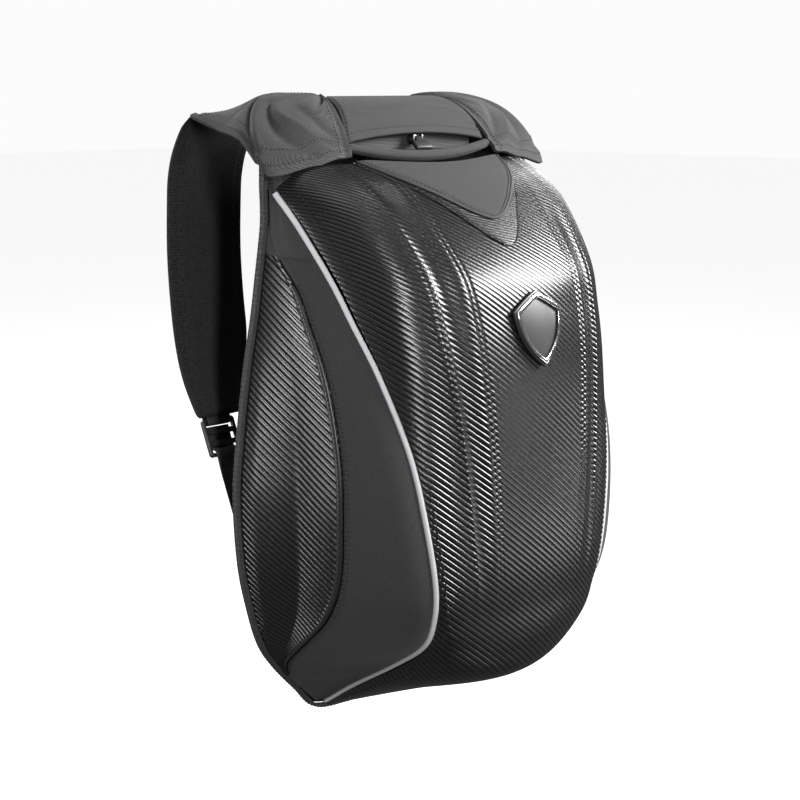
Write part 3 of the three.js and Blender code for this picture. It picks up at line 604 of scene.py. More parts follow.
def inset_skin(side):
    """The inset with its fold, sunk a little inside its smooth border."""

    def skin(row, w):
        to_edge = (seam_at(row) - w) * girth(side, row)
        sink = BORDER_SINK * smoothstep(BORDER - 0.0012, BORDER, to_edge)
        roll = 0.0012 * (1 - smoothstep(0, 0.0016, to_edge))
        normal = normal_of(lambda a, b: side_face(side, a, b), row, w)
        return inset_face(side, row, w) - normal * (sink + roll)

    return skin


def border_strip(side):
    """A flat strip of smooth laminate that frames the twill of an inset."""

    def strip(row, share):
        inside = BORDER_FROM + share * (BORDER - BORDER_FROM)
        point, normal = on(inset_skin(side), row, seam_at(row) - inside / girth(side, row))
        crown = 0.0006 * math.sin(math.pi * share) ** 0.5 if 0 < share < 1 else 0
        return point + normal * (0.0002 + crown)

    return strip


def plastic(name, light, roughness):
    material, bsdf = shader(name, light, roughness)
    fine = grain(bsdf, 1600, 3)
    carve(bsdf, fine, 0.35, 0.0001)
    roughen(bsdf, fine, roughness - 0.1, 0.2)
    return material


smooth_laminate = plastic("smooth_laminate", (0.014, 0.014, 0.015), 0.36)
for tag, side in SIDES:
    def gusset_across(row, side=side):
        low = 0
        if INSET_ROWS[0] < row < INSET_ROWS[1]:
            low = seam_at(row) + SEAM_GAP / girth(side, row)
        return shares(low, 1 - FACE_HEM / girth(side, row), 30)

    def gusset_skin(row, w, side=side):
        """The panel with its edge turned under at the inset and at the piping."""
        wide = girth(side, row)
        from_seam = (w - seam_at(row)) * wide
        point, normal = on(lambda r, share: side_face(side, r, share), row, w)
        hem = 0.0011 * (1 - smoothstep(0, 0.002, from_seam))
        hem += 0.0005 * bump((from_seam - 0.009) / 0.0022)
        hem += 0.0009 * (1 - smoothstep(0.001, 0.005, (1 - w) * wide))
        return point - normal * (hem if from_seam > -1e-4 else 0)

    def inset_across(row, side=side):
        return shares(0, seam_at(row) - SEAM_GAP / girth(side, row), 36)

    panel_rows = shares(0.3, ROWS - 0.25, 150)
    panel = lay(f"nylon_side_{tag}", gusset_skin, panel_rows, gusset_across, facing="side")
    wall(panel, PANEL_WALL)
    dress(panel, nylon, "nylon", f"side_panel_{tag}")

    laid = inset_skin(side), shares(*INSET_ROWS, 130), inset_across
    inset = lay(f"twill_inset_{tag}", *laid, facing="side")
    wall(inset, INSET_WALL)
    dress(inset, inset_twill, "moulded", f"side_inset_{tag}")

    laid = border_strip(side), shares(*BORDER_ROWS, 120), lambda row: shares(0, 1, 6)
    edge = lay(f"inset_border_{tag}", *laid)
    wall(edge, BORDER_WALL, 0)
    dress(edge, smooth_laminate, "moulded")

    seams = []
    for off in SEAM_STITCHES:
        seams.append([
            on(gusset_skin, row, seam_at(row) + off / girth(side, row), THREAD_LIFT)
            for row in shares(3.05, 11.2, 150)
        ])
    border_rows = shares(3.2, 10.85, 140)
    seams.append([on(border_strip(side), row, 0.5, THREAD_LIFT) for row in border_rows])
    sew(f"inset_stitches_{tag}", seams)


# Piping: a cord in a sleeve of pale reflective fabric, sewn in between the shell and
# each side panel, with the stitches of that seam just beside it.
def sleeve(name, rings, closed=False):
    """A skin through rings of points. Its UV map holds metres round and along."""
    sides = len(rings[0])
    rows = len(rings) if closed else len(rings) - 1
    bm = bmesh.new()
    bmesh.ops.create_grid(bm, x_segments=sides, y_segments=rows, size=0.5)
    place = {}
    for vert in bm.verts:
        i = round((0.5 - vert.co.y) * rows)
        j = round((vert.co.x + 0.5) * sides)
        place[vert] = (i, j)
        vert.co = rings[i % len(rings)][j % sides]
    middles = [sum(ring, Vector()) / sides for ring in rings]
    along = [0]
    for i in range(1, rows + 1):
        along.append(along[-1] + (middles[i % len(rings)] - middles[i - 1]).length)
    ring = rings[len(rings) // 2]
    around = [0]
    for j in range(1, sides + 1):
        around.append(around[-1] + (ring[j % sides] - ring[j - 1]).length)
    layer = bm.loops.layers.uv.new("surface")
    for quad in bm.faces:
        for loop in quad.loops:
            i, j = place[loop.vert]
            loop[layer].uv = (around[j], along[i])
    bmesh.ops.remove_doubles(bm, verts=bm.verts, dist=1e-6)
    if not closed:
        bmesh.ops.holes_fill(bm, edges=[e for e in bm.edges if e.is_boundary], sides=0)
    bmesh.ops.recalc_face_normals(bm, faces=bm.faces)
    return link(name, bm)


def walk(path):
    """Each point of a path with the way on from it."""
    for i, point in enumerate(path):
        before, after = path[max(i - 1, 0)], path[min(i + 1, len(path) - 1)]
        yield point, (after - before).normalized()


def rings_along(points, radius_at, sides=12, up=Vector((0, 0, 1))):
    rings = []
    for i, (point, along) in enumerate(walk(points)):
        first = up.cross(along).normalized()
        second = along.cross(first)
        radius = radius_at(i / (len(points) - 1))
        rings.append([
            point + (first * math.cos(t) + second * math.sin(t)) * radius
            for t in (2 * math.pi * k / sides for k in range(sides))
        ])
    return rings


PIPING_SWELL, PIPING_SEAM = 1.16, 0.0062
reflective = weave(
    "reflective_cloth", (0.36, 0.36, 0.37), (0.56, 0.56, 0.57), 0.0006, 0.42, 0.0001, 0.15
)
for tag, side in SIDES:
    cord = [pipe_at(side, row) for row in shares(0.1, ROWS, 190)]
    rings = rings_along(cord, lambda t: PIPING_RADIUS * PIPING_SWELL, 14)
    dress(sleeve(f"piping_cord_{tag}", rings), reflective, "reflective", f"piping_{tag}")
    beside = [
        on(shell_face, row, side * (1 - PIPING_SEAM / abs(pipe_at(1, row).x)), 0.0002)
        for row in shares(0.6, ROWS - 0.3, 190)
    ]
    sew(f"piping_stitches_{tag}", [beside], WIDE_STITCH)


# Back panel: foam under black air mesh, sewn into channels that let air pass behind
# the wearer. It is flat over its middle and follows the back edge at its sides.
BACK_TOP = {
    "back_half": (0.92, 0.785, 0.583, 0.307),
    "back_out": (0.136, 0.08, 0.028, 0.006),
    "back_up": (0.922, 0.96, 0.982, 0.99),
}
BACK_BOTTOM = {"back_half": 0.23, "back_out": 0, "back_up": -0.009}
FLAT_SHARE, SOFT_SHARE = 0.55, 0.86
PAD_RISE, PAD_SUNK, PAD_WALL = 0.004, 0.001, 0.0075
CHANNELS_UP = (0.13, 0.02, -0.09)
SEWN_ACROSS = (0.026, 0.112)


EDGE = {key: (BACK_BOTTOM[key], *reversed(STATIONS[key]), *top) for key, top in BACK_TOP.items()}
EDGE_ROWS = len(EDGE["back_up"]) - 1


def edge_at(side, row, inset):
    """A point of the bag's edge, moved inwards by inset."""
    point, before, after = (line_at(EDGE, "back", side, r) for r in (row, row - 0.01, row + 0.01))
    along = after - before
    inwards = Vector((-side * along.z, 0, side * along.x)).normalized()
    return point + inwards * inset


def pad_relief(x, z):
    """How far the padding stands behind the plain panel: two long pads beside a deep
    middle channel, cut across by three shallow ones."""
    middle = bump(x / 0.016)
    cross = max(bump((z - up + 0.35 * abs(x)) / 0.009) for up in CHANNELS_UP)
    sewn = sum(bump((abs(x) - across) / 0.0035) for across in SEWN_ACROSS)
    return PAD_RISE - 0.0075 * middle - 0.0058 * cross - 0.0034 * sewn


def back_face(row, v):
    edge = edge_at(1, row, BINDING_THICK / 2 + 0.0002)
    bend = max((abs(v) - FLAT_SHARE) / (1 - FLAT_SHARE), 0) ** 1.5
    sweep = -edge.y - EDGE_TO_BACK
    x, z = v * edge.x, edge.z
    near_edge = smoothstep(1, SOFT_SHARE, abs(v)) if abs(v) > SOFT_SHARE else 1
    near_end = smoothstep(0, 0.7, row) * (1 - smoothstep(EDGE_ROWS - 0.7, EDGE_ROWS, row))
    lift = (pad_relief(x, z) + PAD_SUNK) * near_edge * near_end - PAD_SUNK
    return Vector((x, lift - sweep * bend, z))


def mesh_cloth(name, dark, light):
    """Black spacer mesh: small round holes in a knit."""
    material, bsdf = shader(name, light, 0.85)
    uv = face_map(bsdf)[0]
    holes = add_node(
        bsdf, "ShaderNodeTexVoronoi", {"Scale": 420, "Randomness": 0.35, "Vector": uv},
        "Distance",
    )
    knit = add_node(
        bsdf, "ShaderNodeMapRange", {"From Min": 0.12, "From Max": 0.42, "Value": holes}
    )
    carve(bsdf, knit, 0.9, 0.0006)
    # painted shade: the holes are darker than the knit round them
    tone_with_painted_shade(bsdf, knit, dark, light)
    feed(bsdf, {"Specular IOR Level": 0.25})
    return material


air_mesh = mesh_cloth("air_mesh", (0.005, 0.005, 0.005), (0.04, 0.04, 0.042))
pad_rows = shares(0, EDGE_ROWS, 190)
pad = lay("back_pad", back_face, pad_rows, lambda row: shares(-1, 1, 110), start=0.5)
wall(pad, PAD_WALL)
dress(pad, air_mesh, "padding", "back_panel")


# Binding: a ribbed tape folded over the raw edges of the side panels and the back
# panel, and sewn through with a row of stitches near each of its own edges.
def ribbed(name, light, pitch):
    material, bsdf = shader(name, light, 0.6)
    _, across, down = face_map(bsdf)
    yarn = maths(bsdf, "MULTIPLY_ADD", waves(bsdf, across, pitch * 0.6), 0.15, 0.5)
    relief = maths(bsdf, "MULTIPLY_ADD", waves(bsdf, down, pitch), 0.35, yarn)
    carve(bsdf, relief, 0.8, 0.0003)
    # painted shade: the grooves between the ribs are a third as bright as the tape's colour
    tone_with_painted_shade(bsdf, relief, tuple(c * 0.35 for c in light), light)
    feed(bsdf, {"Sheen Weight": 0.06, "Specular IOR Level": 0.35})
    return material


def oblong(count, wide, deep, wide_power, deep_power):
    """Points round an oblong with soft corners: across its width and its depth."""
    for k in range(count):
        turn = 2 * math.pi * k / count
        x, y = math.cos(turn), math.sin(turn)
        yield (
            math.copysign(abs(x) ** wide_power, x) * wide / 2,
            math.copysign(abs(y) ** deep_power, y) * deep / 2,
        )


def edge_spot(side, row):
    """A spot on the bag's edge, level with the binding's middle, and the way inwards."""
    spot = edge_at(side, row, 0)
    inwards = (edge_at(side, row, 0.001) - spot).normalized()
    return spot + Vector((0, BINDING_BEHIND, 0)), inwards


tape = ribbed("ribbed_tape", (0.03, 0.03, 0.032), 0.0011)
edge_rows = shares(0, EDGE_ROWS, 150)
edge_loop = [(1, row) for row in edge_rows] + [(-1, row) for row in reversed(edge_rows)]
rings = []
for side, row in edge_loop:
    spot, inwards = edge_spot(side, row)
    section = oblong(14, BINDING_THICK, BINDING_WIDTH, 0.6, 0.75)
    rings.append([spot + inwards * flat + Vector((0, deep, 0)) for flat, deep in section])
dress(sleeve("edge_binding", rings, closed=True), tape, "tape", "back_binding")
bound = []
for side in (1, -1):
    for deep in (0.0022, -0.0024):
        line = []
        for row in edge_rows:
            spot, inwards = edge_spot(side, row)
            face = spot - inwards * (BINDING_THICK / 2 * 0.98) + Vector((0, deep, 0))
            line.append((face, -inwards))
        bound.append(line)
sew("binding_stitches", bound, (0.004, 0.0027))


# Bib: a rounded woven triangle that covers the top of the shell below the zip. Its
# edge is turned over a thin cord and sewn down to the shell's collar.
BIB_WIDE, BIB_TIP, BIB_RISE = 0.085, 2.12, 0.0034
CORD_RADIUS, CORD_OUTSIDE, CORD_LIFT = 0.0013, 0.0006, 0.0018
BIB_SEAM, BIB_WALL = 0.0042, 0.0018


def bib_half(row):
    return point_down(row, BIB_WIDE, BIB_TIP)


def bib_face(row, s):
    half = bib_half(row)
    point, normal = on(shell_face, row, s * half / pipe_at(1, row).x)
    edge = (1 - abs(s)) * half
    roll = 0.0014 * (1 - smoothstep(0, 0.004, edge))
    seam = 0.0006 * bump((edge - 0.0055) / 0.0016)
    return point + normal * (BIB_RISE - roll - seam)


def round_the_bib(rows):
    """Down its left edge and up its right edge, with the half width at each row."""
    for side, down in ((-1, rows), (1, list(reversed(rows))[1:])):
        for row in down:
            yield side, row, bib_half(row)


bib_rows = triangle_rows(BIB_TIP, TIP_CUT)
bib = lay("bib_cloth", bib_face, bib_rows, lambda row: shares(-1, 1, 44), start=0.5)
wall(bib, BIB_WALL)
dress(bib, nylon, "nylon", "bib")

cord = []
for side, row, half in round_the_bib(triangle_rows(BIB_TIP)):
    v = side * (half + CORD_OUTSIDE) / pipe_at(1, row).x
    cord.append(on(shell_face, row, v, CORD_LIFT)[0])
rings = rings_along(cord, lambda t: CORD_RADIUS, 10, Vector((0, -1, 0.01)))
dress(sleeve("bib_cord", rings), tape, "tape")
bib_seam = [
    on(bib_face, row, side * (1 - BIB_SEAM / half), THREAD_LIFT)
    for side, row, half in round_the_bib(bib_rows) if half > BIB_SEAM
]
sew("bib_stitches", [bib_seam], FINE_STITCH)


# Yoke: the woven top between the wings, from the slit over the crest to the bound
# edge. Its front edge is hemmed over the zip, with a fold pressed in behind the hem.
SEAM_TOP, SEAM_LOW, SEAM_INSET = 0.068, 0.086, 0.0015
YOKE_WALL, YOKE_EDGE = 0.003, 0.0008
SLIT = {"mid_out": 0.047, "mid_up": 0.4715, "side_out": 0.045, "side_up": 0.4645}
CREST = {"out": 0.034, "up": 0.498}


def yoke_face(share, s):
    arch = 1 - s * s
    slit_out = mix(SLIT["side_out"], SLIT["mid_out"], arch)
    front = at(0, slit_out, mix(SLIT["side_up"], SLIT["mid_up"], arch))
    crest = at(0, CREST["out"], CREST["up"])
    back = at(0, BINDING_WIDTH / 2, HEIGHT)
    point = front * (1 - share) ** 2 + crest * (2 * share * (1 - share)) + back * share**2
    point.x = s * (SEAM_LOW - SEAM_INSET + (SEAM_TOP - SEAM_LOW) * share)
    return point


def yoke_skin(share, s):
    point, normal = on(yoke_face, share, s)
    hem = 0.0009 * bump((share - 0.17) / 0.035)
    ruck = 0.0012 * bump((share - 0.42 - 0.08 * math.sin(4 * s)) / 0.05) * (1 - s * s)
    edge = 0.0012 * (1 - smoothstep(0, 0.06, 1 - abs(s)))
    return point + normal * (ruck - hem - edge)


yoke = lay("yoke_top", yoke_skin, shares(0, 1, 48), lambda share: shares(-1, 1, 90), start=0.5)
wall(yoke, YOKE_WALL, YOKE_EDGE)
dress(yoke, nylon, "nylon", "yoke_panel")
seams = [[on(yoke_skin, 0.1, s, THREAD_LIFT) for s in shares(-0.97, 0.97, 60)]]
for s in (-0.955, 0.955):
    seams.append([on(yoke_skin, t, s, THREAD_LIFT) for t in shares(0.02, 0.97, 40)])
sew("yoke_stitches", seams, FINE_STITCH)


# Lip: the shell's cover turned over a cord below the slit, where the hand pulls the
# zip. It bows forwards and sags in the middle.
LIP = {"out": 0.046, "bow": 0.008, "up": 0.4608, "sag": 0.0078, "radius": 0.0036, "swell": 0.0009}
LIP_STEPS = 90
LIP_FACING = Vector((0, -0.94, -0.34))


def lip_spot(s):
    arch = 1 - s * s
    across = s * (SEAM_LOW - SEAM_INSET)
    return at(across, LIP["out"] + LIP["bow"] * arch, LIP["up"] - LIP["sag"] * arch)


def lip_radius(t):
    return LIP["radius"] + LIP["swell"] * (1 - (2 * t - 1) ** 2)


lip_line = [lip_spot(s) for s in shares(-1, 1, LIP_STEPS)]
dress(sleeve("slit_roll", rings_along(lip_line, lip_radius, 16)), nylon, "nylon", "slit_lip")
lip_seam = [
    (lip_line[i] + LIP_FACING * lip_radius(i / LIP_STEPS), LIP_FACING)
    for i in range(2, LIP_STEPS - 1)
]
sew("slit_stitches", [lip_seam], FINE_STITCH)


# Wings: woven nylon from the yoke over the shoulders, one on each side, gathered where
# they leave the yoke. Their front hem has two rows of stitches, the back hem one.
WING = {
    "front_half": (0.54, 0.767, 1.012, 1.037, 1.025, 1.012, 1),
    "front_out": (0.316, 0.299, 0.259, 0.176, 0.063, -0.074, -0.256),
    "front_up": (0.912, 0.9, 0.884, 0.906, 0.938, 0.953, 0.975),
    "mid_half": (0.479, 0.65, 0.834, 0.86, 0.81, 0.764, 0.76),
    "mid_out": (0.165, 0.159, 0.102, 0.034, -0.045, -0.136, -0.256),
    "mid_up": (0.977, 0.979, 0.975, 0.986, 0.995, 0.991, 0.975),
    "back_half": (0.424, 0.436, 0.451, 0.463, 0.475, 0.485, 0.521),
    "back_out": (0.023, 0, -0.023, -0.068, -0.136, -0.199, -0.256),
    "back_up": (1, 1.003, 1.005, 1.004, 1.003, 0.998, 0.975),
}
WING_ROWS = len(WING["front_half"]) - 1
# Folds, each as: its middle along the wing from the yoke, its middle across from the
# front edge, how it leans, its width, its rise in metres and its reach across
GATHERS = (
    (0.13, 0.34, 0.42, 0.035, -0.006, 0.2),
    (0.2, 0.3, 0.45, 0.03, 0.0035, 0.22),
    (0.29, 0.3, 0.5, 0.04, -0.0055, 0.26),
    (0.1, 0.78, -0.15, 0.035, -0.0045, 0.2),
    (0.44, 0.32, 0.35, 0.075, 0.0035, 0.24),
    (0.56, 0.3, 0.25, 0.03, -0.0028, 0.3),
    (0.37, 0.72, -0.35, 0.02, -0.002, 0.16),
    (0.72, 0.5, -0.2, 0.03, -0.0018, 0.35),
)


def wing_face(side, row, b):
    """A curve from the front line through the middle one to the back one, with folds."""
    front, mid, back = (line_at(WING, line, side, row) for line in ("front", "mid", "back"))
    point = front * (2 * (b - 0.5) * (b - 1)) + mid * (4 * b * (1 - b))
    point += back * (2 * b * (b - 0.5))
    out = (at(side * HALF, 0, HEIGHT) - HEART).normalized()
    for along, across, lean, width, rise, reach in GATHERS:
        offset = row / WING_ROWS - along - lean * (b - across)
        crest = 1 / (1 + (offset / width) ** 2) ** 1.5
        point += out * (rise * crest * bump((b - across) / reach))
    return point


for tag, side in SIDES:
    def wing_skin(row, b, side=side):
        point, normal = on(lambda r, c: wing_face(side, r, c), row, b)
        hem = 0.0011 * bump((b - 0.115) / 0.03) + 0.0012 * (1 - smoothstep(0, 0.05, b))
        seam = 0.0011 * bump((row - 0.16) / 0.09)
        return point - normal * (hem + seam)

    wing = lay(f"wing_{tag}", wing_skin, shares(0, WING_ROWS, 110), lambda row: shares(0, 1, 80))
    wall(wing, YOKE_WALL, YOKE_EDGE)
    dress(wing, nylon, "nylon", f"yoke_wing_{tag}")
    hem_rows = shares(0.08, WING_ROWS, 110)
    hems = [[on(wing_skin, r, b, THREAD_LIFT) for r in hem_rows] for b in (0.06, 0.17, 0.95)]
    for row, steps in ((0.3, 70), (WING_ROWS - 0.22, 60)):
        hems.append([on(wing_skin, row, b, THREAD_LIFT) for b in shares(0.03, 0.97, steps)])
    sew(f"wing_stitches_{tag}", hems, FINE_STITCH)


# Shoulder straps: foam in a black lining of spacer mesh, sewn to the wings. A flat band
# runs round each between two rows of stitches, and it narrows to its ladder lock.
STRAP_THICK, STRAP_WIDTH, STRAP_MIDDLE = 0.01, 0.078, 0.124
STRAP_END, END_MIDDLE = 0.044, 0.137
STRAP = {
    "behind": (0.268, 0.341, 0.403, 0.438, 0.449, 0.455, 0.44, 0.412, 0.375, 0.312, 0.285),
    "up": (0.9705, 0.951, 0.918, 0.878, 0.836, 0.756, 0.676, 0.606, 0.552, 0.504, 0.49),
}
STRAP_ROWS = len(STRAP["up"]) - 1
STITCH_DEPTH = 0.3168


def strap_line(row):
    return at(0, -column(STRAP["behind"], row) * DEPTH, column(STRAP["up"], row) * HEIGHT)


def strap_frame(row):
    along = (strap_line(row + 0.01) - strap_line(row - 0.01)).normalized()
    taper = smoothstep(STRAP_ROWS - 3.5, STRAP_ROWS, row)
    middle = mix(STRAP_MIDDLE, END_MIDDLE, taper)
    wide = mix(STRAP_WIDTH, STRAP_END, taper)
    thick = mix(YOKE_WALL, STRAP_THICK, smoothstep(0, 2, row))
    return Vector((0, along.z, -along.y)), middle, wide, thick


def strap_ring(side, row):
    inwards, middle, wide, thick = strap_frame(row)
    end = 1 - 0.75 * smoothstep(STRAP_ROWS - 0.25, STRAP_ROWS, row)
    ring = []
    for flat, body in oblong(48, 2, 2, 0.35, 0.55):
        band = 1 - smoothstep(0.72, 0.8, abs(flat))
        groove = bump((abs(flat) - 0.76) / 0.03)
        crown = 0.62 + 0.38 * band * (1 - 0.25 * flat**2) - 0.14 * groove
        point = strap_line(row) + inwards * (thick / 2) * (1 + body * crown * end)
        point.x = side * (middle + flat * wide / 2)
        ring.append(point)
    return ring


lining = mesh_cloth("strap_lining", (0.002, 0.002, 0.002), (0.014, 0.014, 0.015))
for tag, side in SIDES:
    rings = [strap_ring(side, row) for row in shares(0, STRAP_ROWS, 150)]
    strap = sleeve(f"padded_strap_{tag}", rings)
    dress(strap, lining, "padding", f"shoulder_strap_{tag}")
    seams = []
    for off in (-0.8, 0.8):
        for depth in (0.5 - STITCH_DEPTH, 0.5 + STITCH_DEPTH):
            line = []
            for row in shares(0.3, STRAP_ROWS - 0.3, 140):
                inwards, middle, wide, thick = strap_frame(row)
                spot = strap_line(row) + inwards * (thick * depth)
                spot.x = side * (middle + off * wide / 2)
                line.append((spot, inwards if depth > 0.5 else -inwards))
            seams.append(line)
    sew(f"strap_stitches_{tag}", seams, WIDE_STITCH)


# Ladder locks: moulded plastic frames of three slots. Each is held by a tab of webbing
# that is sewn to the end of its strap.
LOCK = {
    "wide": 0.034, "long": 0.031, "thick": 0.0036, "slot": 0.0053, "pitch": 0.0095,
    "below": 0.0003, "side_bar": 0.0028, "corner": 0.0026, "edge": 0.0007,
}
LOCK_LEAN = math.radians(22)
WEBBING_WIDTH, WEBBING_THICK, WEBBING_REACH = 0.026, 0.0016, 0.034
black_plastic = plastic("moulded_plastic", (0.01, 0.01, 0.011), 0.48)
RIGHT = Vector((1, 0, 0))


def lock_frame(side):
    along = Vector((0, -math.sin(LOCK_LEAN), -math.cos(LOCK_LEAN)))
    outwards = Vector((0, math.cos(LOCK_LEAN), -math.sin(LOCK_LEAN)))
    middle = strap_line(STRAP_ROWS) + along * (LOCK["long"] / 2 + LOCK["below"])
    middle.x = side * END_MIDDLE
    return middle, along, outwards


def round_edges(bm, least, radius, segments):
    bmesh.ops.recalc_face_normals(bm, faces=bm.faces)
    sharp = [e for e in bm.edges if len(e.link_faces) == 2 and e.calc_face_angle() > least]
    bmesh.ops.bevel(
        bm, geom=sharp, offset=radius, segments=segments, profile=0.5, affect="EDGES",
        material=-1, clamp_overlap=True,
    )


def ladder_lock(name, side):
    wide, long, slot, pitch = LOCK["wide"] / 2, LOCK["long"] / 2, LOCK["slot"] / 2, LOCK["pitch"]
    xs = (-wide, LOCK["side_bar"] - wide, wide - LOCK["side_bar"], wide)
    ys = (-long, -pitch - slot, -pitch + slot, -slot, slot, pitch - slot, pitch + slot, long)
    bm = bmesh.new()
    bmesh.ops.create_grid(bm, x_segments=3, y_segments=7, size=0.5)
    for vert in bm.verts:
        vert.co.x = xs[round((vert.co.x + 0.5) * 3)]
        vert.co.y = ys[round((vert.co.y + 0.5) * 7)]
    slots = []
    for quad in bm.faces:
        spot = quad.calc_center_median()
        inside = min(abs(spot.y - p) for p in (-pitch, 0, pitch)) < slot / 2
        if abs(spot.x) < wide / 2 and inside:
            slots.append(quad)
    bmesh.ops.delete(bm, geom=slots, context="FACES")
    corners = [
        v for v in bm.verts
        if abs(abs(v.co.x) - wide) < 1e-6 and abs(abs(v.co.y) - long) < 1e-6
    ]
    bmesh.ops.bevel(
        bm, geom=corners, offset=LOCK["corner"], segments=4, profile=0.5, affect="VERTICES",
        material=-1,
    )
    made = bmesh.ops.extrude_face_region(bm, geom=bm.faces[:])
    raised = [v for v in made["geom"] if isinstance(v, bmesh.types.BMVert)]
    bmesh.ops.translate(bm, vec=(0, 0, LOCK["thick"]), verts=raised)
    bmesh.ops.translate(bm, vec=(0, 0, -LOCK["thick"] / 2), verts=bm.verts)
    round_edges(bm, 0.7, LOCK["edge"], 3)
    middle, along, _ = lock_frame(side)
    turn = Matrix((RIGHT, along, RIGHT.cross(along))).transposed().to_4x4()
    bmesh.ops.transform(bm, matrix=Matrix.Translation(middle) @ turn, verts=bm.verts)
    bmesh.ops.recalc_face_normals(bm, faces=bm.faces)
    return link(name, bm)


# Webbing: ribbed tape laid over each lock, down through its last slot and on to the
# back panel, where a sewn box holds it.
WEBBING = {
    "half": (0.85, 0.862, 0.87, 0.876, 0.88, 0.88),
    "off": (0.7, 0.43, 0.22, 0.07, 0, 0),
    "up": (0.412, 0.378, 0.35, 0.326, 0.304, 0.276),
}
CLEAR = 0.0003
SEAT = EDGE_TO_BACK + CLEAR + WEBBING_THICK / 2
TAB = {"wide": 0.0252, "thick": 0.0014, "bend": 0.0026, "tail": 0.009}
BOX = {"half": 0.0095, "low": 0.002, "high": 0.021, "stitch": (0.0026, 0.0019)}


def webbing_points(side):
    middle, along, outwards = lock_frame(side)
    over = (LOCK["thick"] + WEBBING_THICK) / 2 + CLEAR
    cross = LOCK["slot"] * 0.4

    def from_lock(down, out):
        return middle + along * down + outwards * out

    points = [
        from_lock(-LOCK["pitch"], over),
        from_lock(LOCK["pitch"] - cross, over),
        from_lock(LOCK["pitch"] + cross, -over),
    ]
    for half, off, up in zip(WEBBING["half"], WEBBING["off"], WEBBING["up"]):
        points.append(at(side * half * HALF, -SEAT - off * WEBBING_REACH, up * HEIGHT))
    return points


def tape_rings(path, count, wide, thick):
    """Rings of a flat tape that lies across the path."""
    rings = []
    for point, along in walk(path):
        out = RIGHT.cross(along).normalized()
        section = oblong(count, wide, thick, 0.3, 0.6)
        rings.append([point + RIGHT * flat + out * deep for flat, deep in section])
    return rings


def webbing_rings(side):
    points = webbing_points(side)
    coords = [[p[k] for p in points] for k in range(3)]
    path = [Vector([column(c, t) for c in coords]) for t in shares(0, len(points) - 1, 110)]
    return tape_rings(path, 20, WEBBING_WIDTH, WEBBING_THICK)


def tab_rings(side):
    """A short tab of webbing from the strap's end, folded round the lock's top bar."""
    middle, along, outwards = lock_frame(side)
    bar = middle - along * (LOCK["long"] / 2 - 0.0017)
    reach = (LOCK["thick"] + WEBBING_THICK) / 2 + 0.0002
    path = []
    for turn in shares(-math.pi / 2, math.pi / 2, 22):
        below = math.cos(turn) * TAB["bend"] + 0.0006
        path.append(bar + along * below + outwards * (math.sin(turn) * reach))
    path = [path[0] - along * TAB["tail"], *path, path[-1] - along * TAB["tail"]]
    return tape_rings(path, 16, TAB["wide"], TAB["thick"])


def box_seams(side):
    """A box of stitches with one diagonal each way, over the webbing's end."""
    end = at(side * WEBBING["half"][-1] * HALF, 0, WEBBING["up"][-1] * HEIGHT)
    end.y = CLEAR + WEBBING_THICK * 1.02
    half, low, high = BOX["half"], BOX["low"], BOX["high"]
    corners = [(-half, low), (half, low), (half, high), (-half, high), (-half, low), (half, high)]
    sides = [*zip(corners, corners[1:]), ((half, low), (-half, high))]
    seams = []
    for (from_x, from_z), (to_x, to_z) in sides:
        seams.append([
            (end + Vector((mix(from_x, to_x, t), 0, mix(from_z, to_z, t))), Vector((0, 1, 0)))
            for t in (0.06, 0.94)
        ])
    return seams


webbing_tape = ribbed("webbing_tape", (0.024, 0.024, 0.026), 0.0016)
for tag, side in SIDES:
    dress(ladder_lock(f"lock_{tag}", side), black_plastic, "plastic", f"ladder_lock_{tag}")
    dress(sleeve(f"lock_tab_{tag}", tab_rings(side)), webbing_tape, "tape")
    strip = sleeve(f"webbing_strip_{tag}", webbing_rings(side))
    dress(strip, webbing_tape, "tape", f"webbing_{tag}")
    sew(f"webbing_stitches_{tag}", box_seams(side), BOX["stitch"])


# Zip: a coil zip behind the slit, with its slider and a moulded pull that hangs from
# the slider's pin.
TRACK = {"half": 0.072, "high": 0.021, "thick": 0.002, "out": 0.035, "up": 0.4674}
TOOTH = {"pitch": 0.0016, "apart": 0.0022, "out": 0.0005, "half": (0.0006, 0.0007, 0.0017)}


def track_face(row, s):
    out = TRACK["out"] + TRACK["thick"] / 2 + 0.0003 * math.sin(9 * s)
    return at(s * TRACK["half"], out, TRACK["up"] + (0.5 - row) * TRACK["high"])


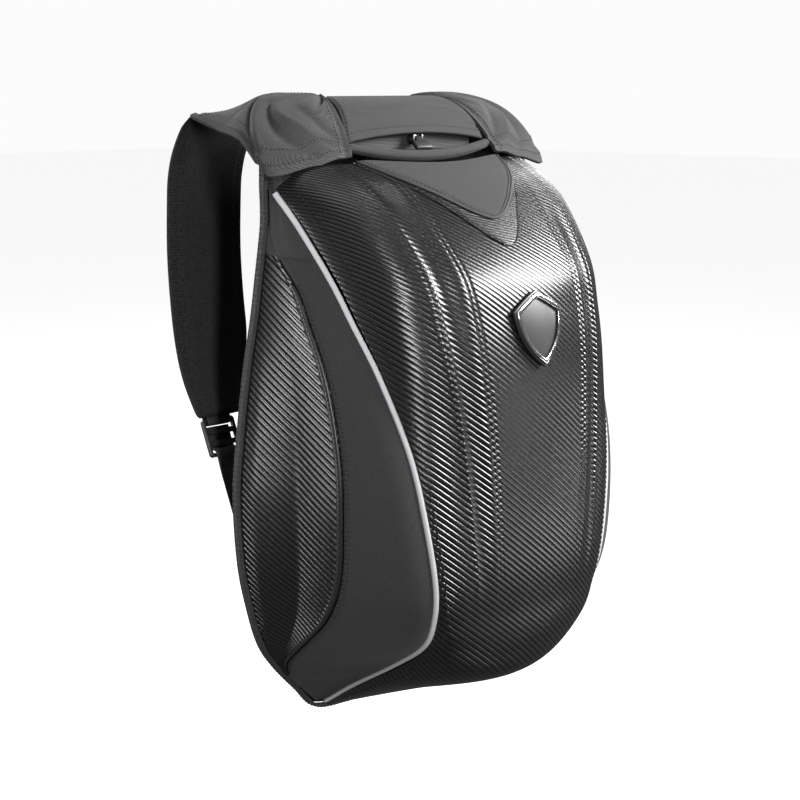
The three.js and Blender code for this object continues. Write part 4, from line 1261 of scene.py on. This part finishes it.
track = lay("zip_tapes", track_face, shares(0, 1, 10), lambda row: shares(-1, 1, 60), start=0.5)
wall(track, TRACK["thick"])
dress(track, tape, "tape", "zip_track")
teeth = bmesh.new()
tooth_count = int(2 * TRACK["half"] * 0.97 / TOOTH["pitch"])
for i in range(tooth_count):
    across = (i - (tooth_count - 1) / 2) * TOOTH["pitch"]
    up = TRACK["up"] + (TOOTH["apart"] / 2 if i % 2 else -TOOTH["apart"] / 2)
    spot = at(across, TRACK["out"] + TRACK["thick"] / 2 + TOOTH["out"], up)
    bmesh.ops.create_uvsphere(
        teeth, u_segments=8, v_segments=5, radius=1,
        matrix=Matrix.Translation(spot) @ Matrix.Diagonal((*TOOTH["half"], 1)),
    )
dress(link("zip_teeth", teeth), black_plastic, "plastic")


def metal(name, light, roughness):
    material, bsdf = shader(name, light, roughness)
    feed(bsdf, {"Metallic": 1})
    roughen(bsdf, grain(bsdf, 350, 5), roughness - 0.05, 0.12)
    return material


gunmetal = metal("gunmetal", (0.2, 0.2, 0.21), 0.32)
polished = metal("polished_metal", (0.82, 0.82, 0.84), 0.12)


def softened(node_name, name, offset):
    """A copy of a CAD node with its doubles merged and its sharp edges rounded."""
    bm = bmesh.new()
    bm.from_mesh(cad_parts[node_name].data)
    bmesh.ops.remove_doubles(bm, verts=bm.verts, dist=1e-6)
    bmesh.ops.dissolve_limit(bm, angle_limit=0.02, verts=bm.verts, edges=bm.edges)
    round_edges(bm, 0.5, offset, 2)
    return link(name, bm)


slider = softened("zip_slider", "slider_body", 0.0006)
dress(slider, gunmetal, "gunmetal", "zip_slider")
pull = softened("zip_pull", "pull_tab", 0.0004)
dress(pull, black_plastic, "plastic", "zip_pull", body="zip_pull")


# Badge: a plain black plastic shield in a bevelled rim of polished metal, glued to the
# shell's middle band.
plate = softened("badge_plate", "shield_plate", 0.0005)
dress(plate, black_plastic, "plastic", "badge_plate")
rim = softened("badge_rim", "shield_rim", 0.0006)
dress(rim, polished, "bright", "badge_rim")
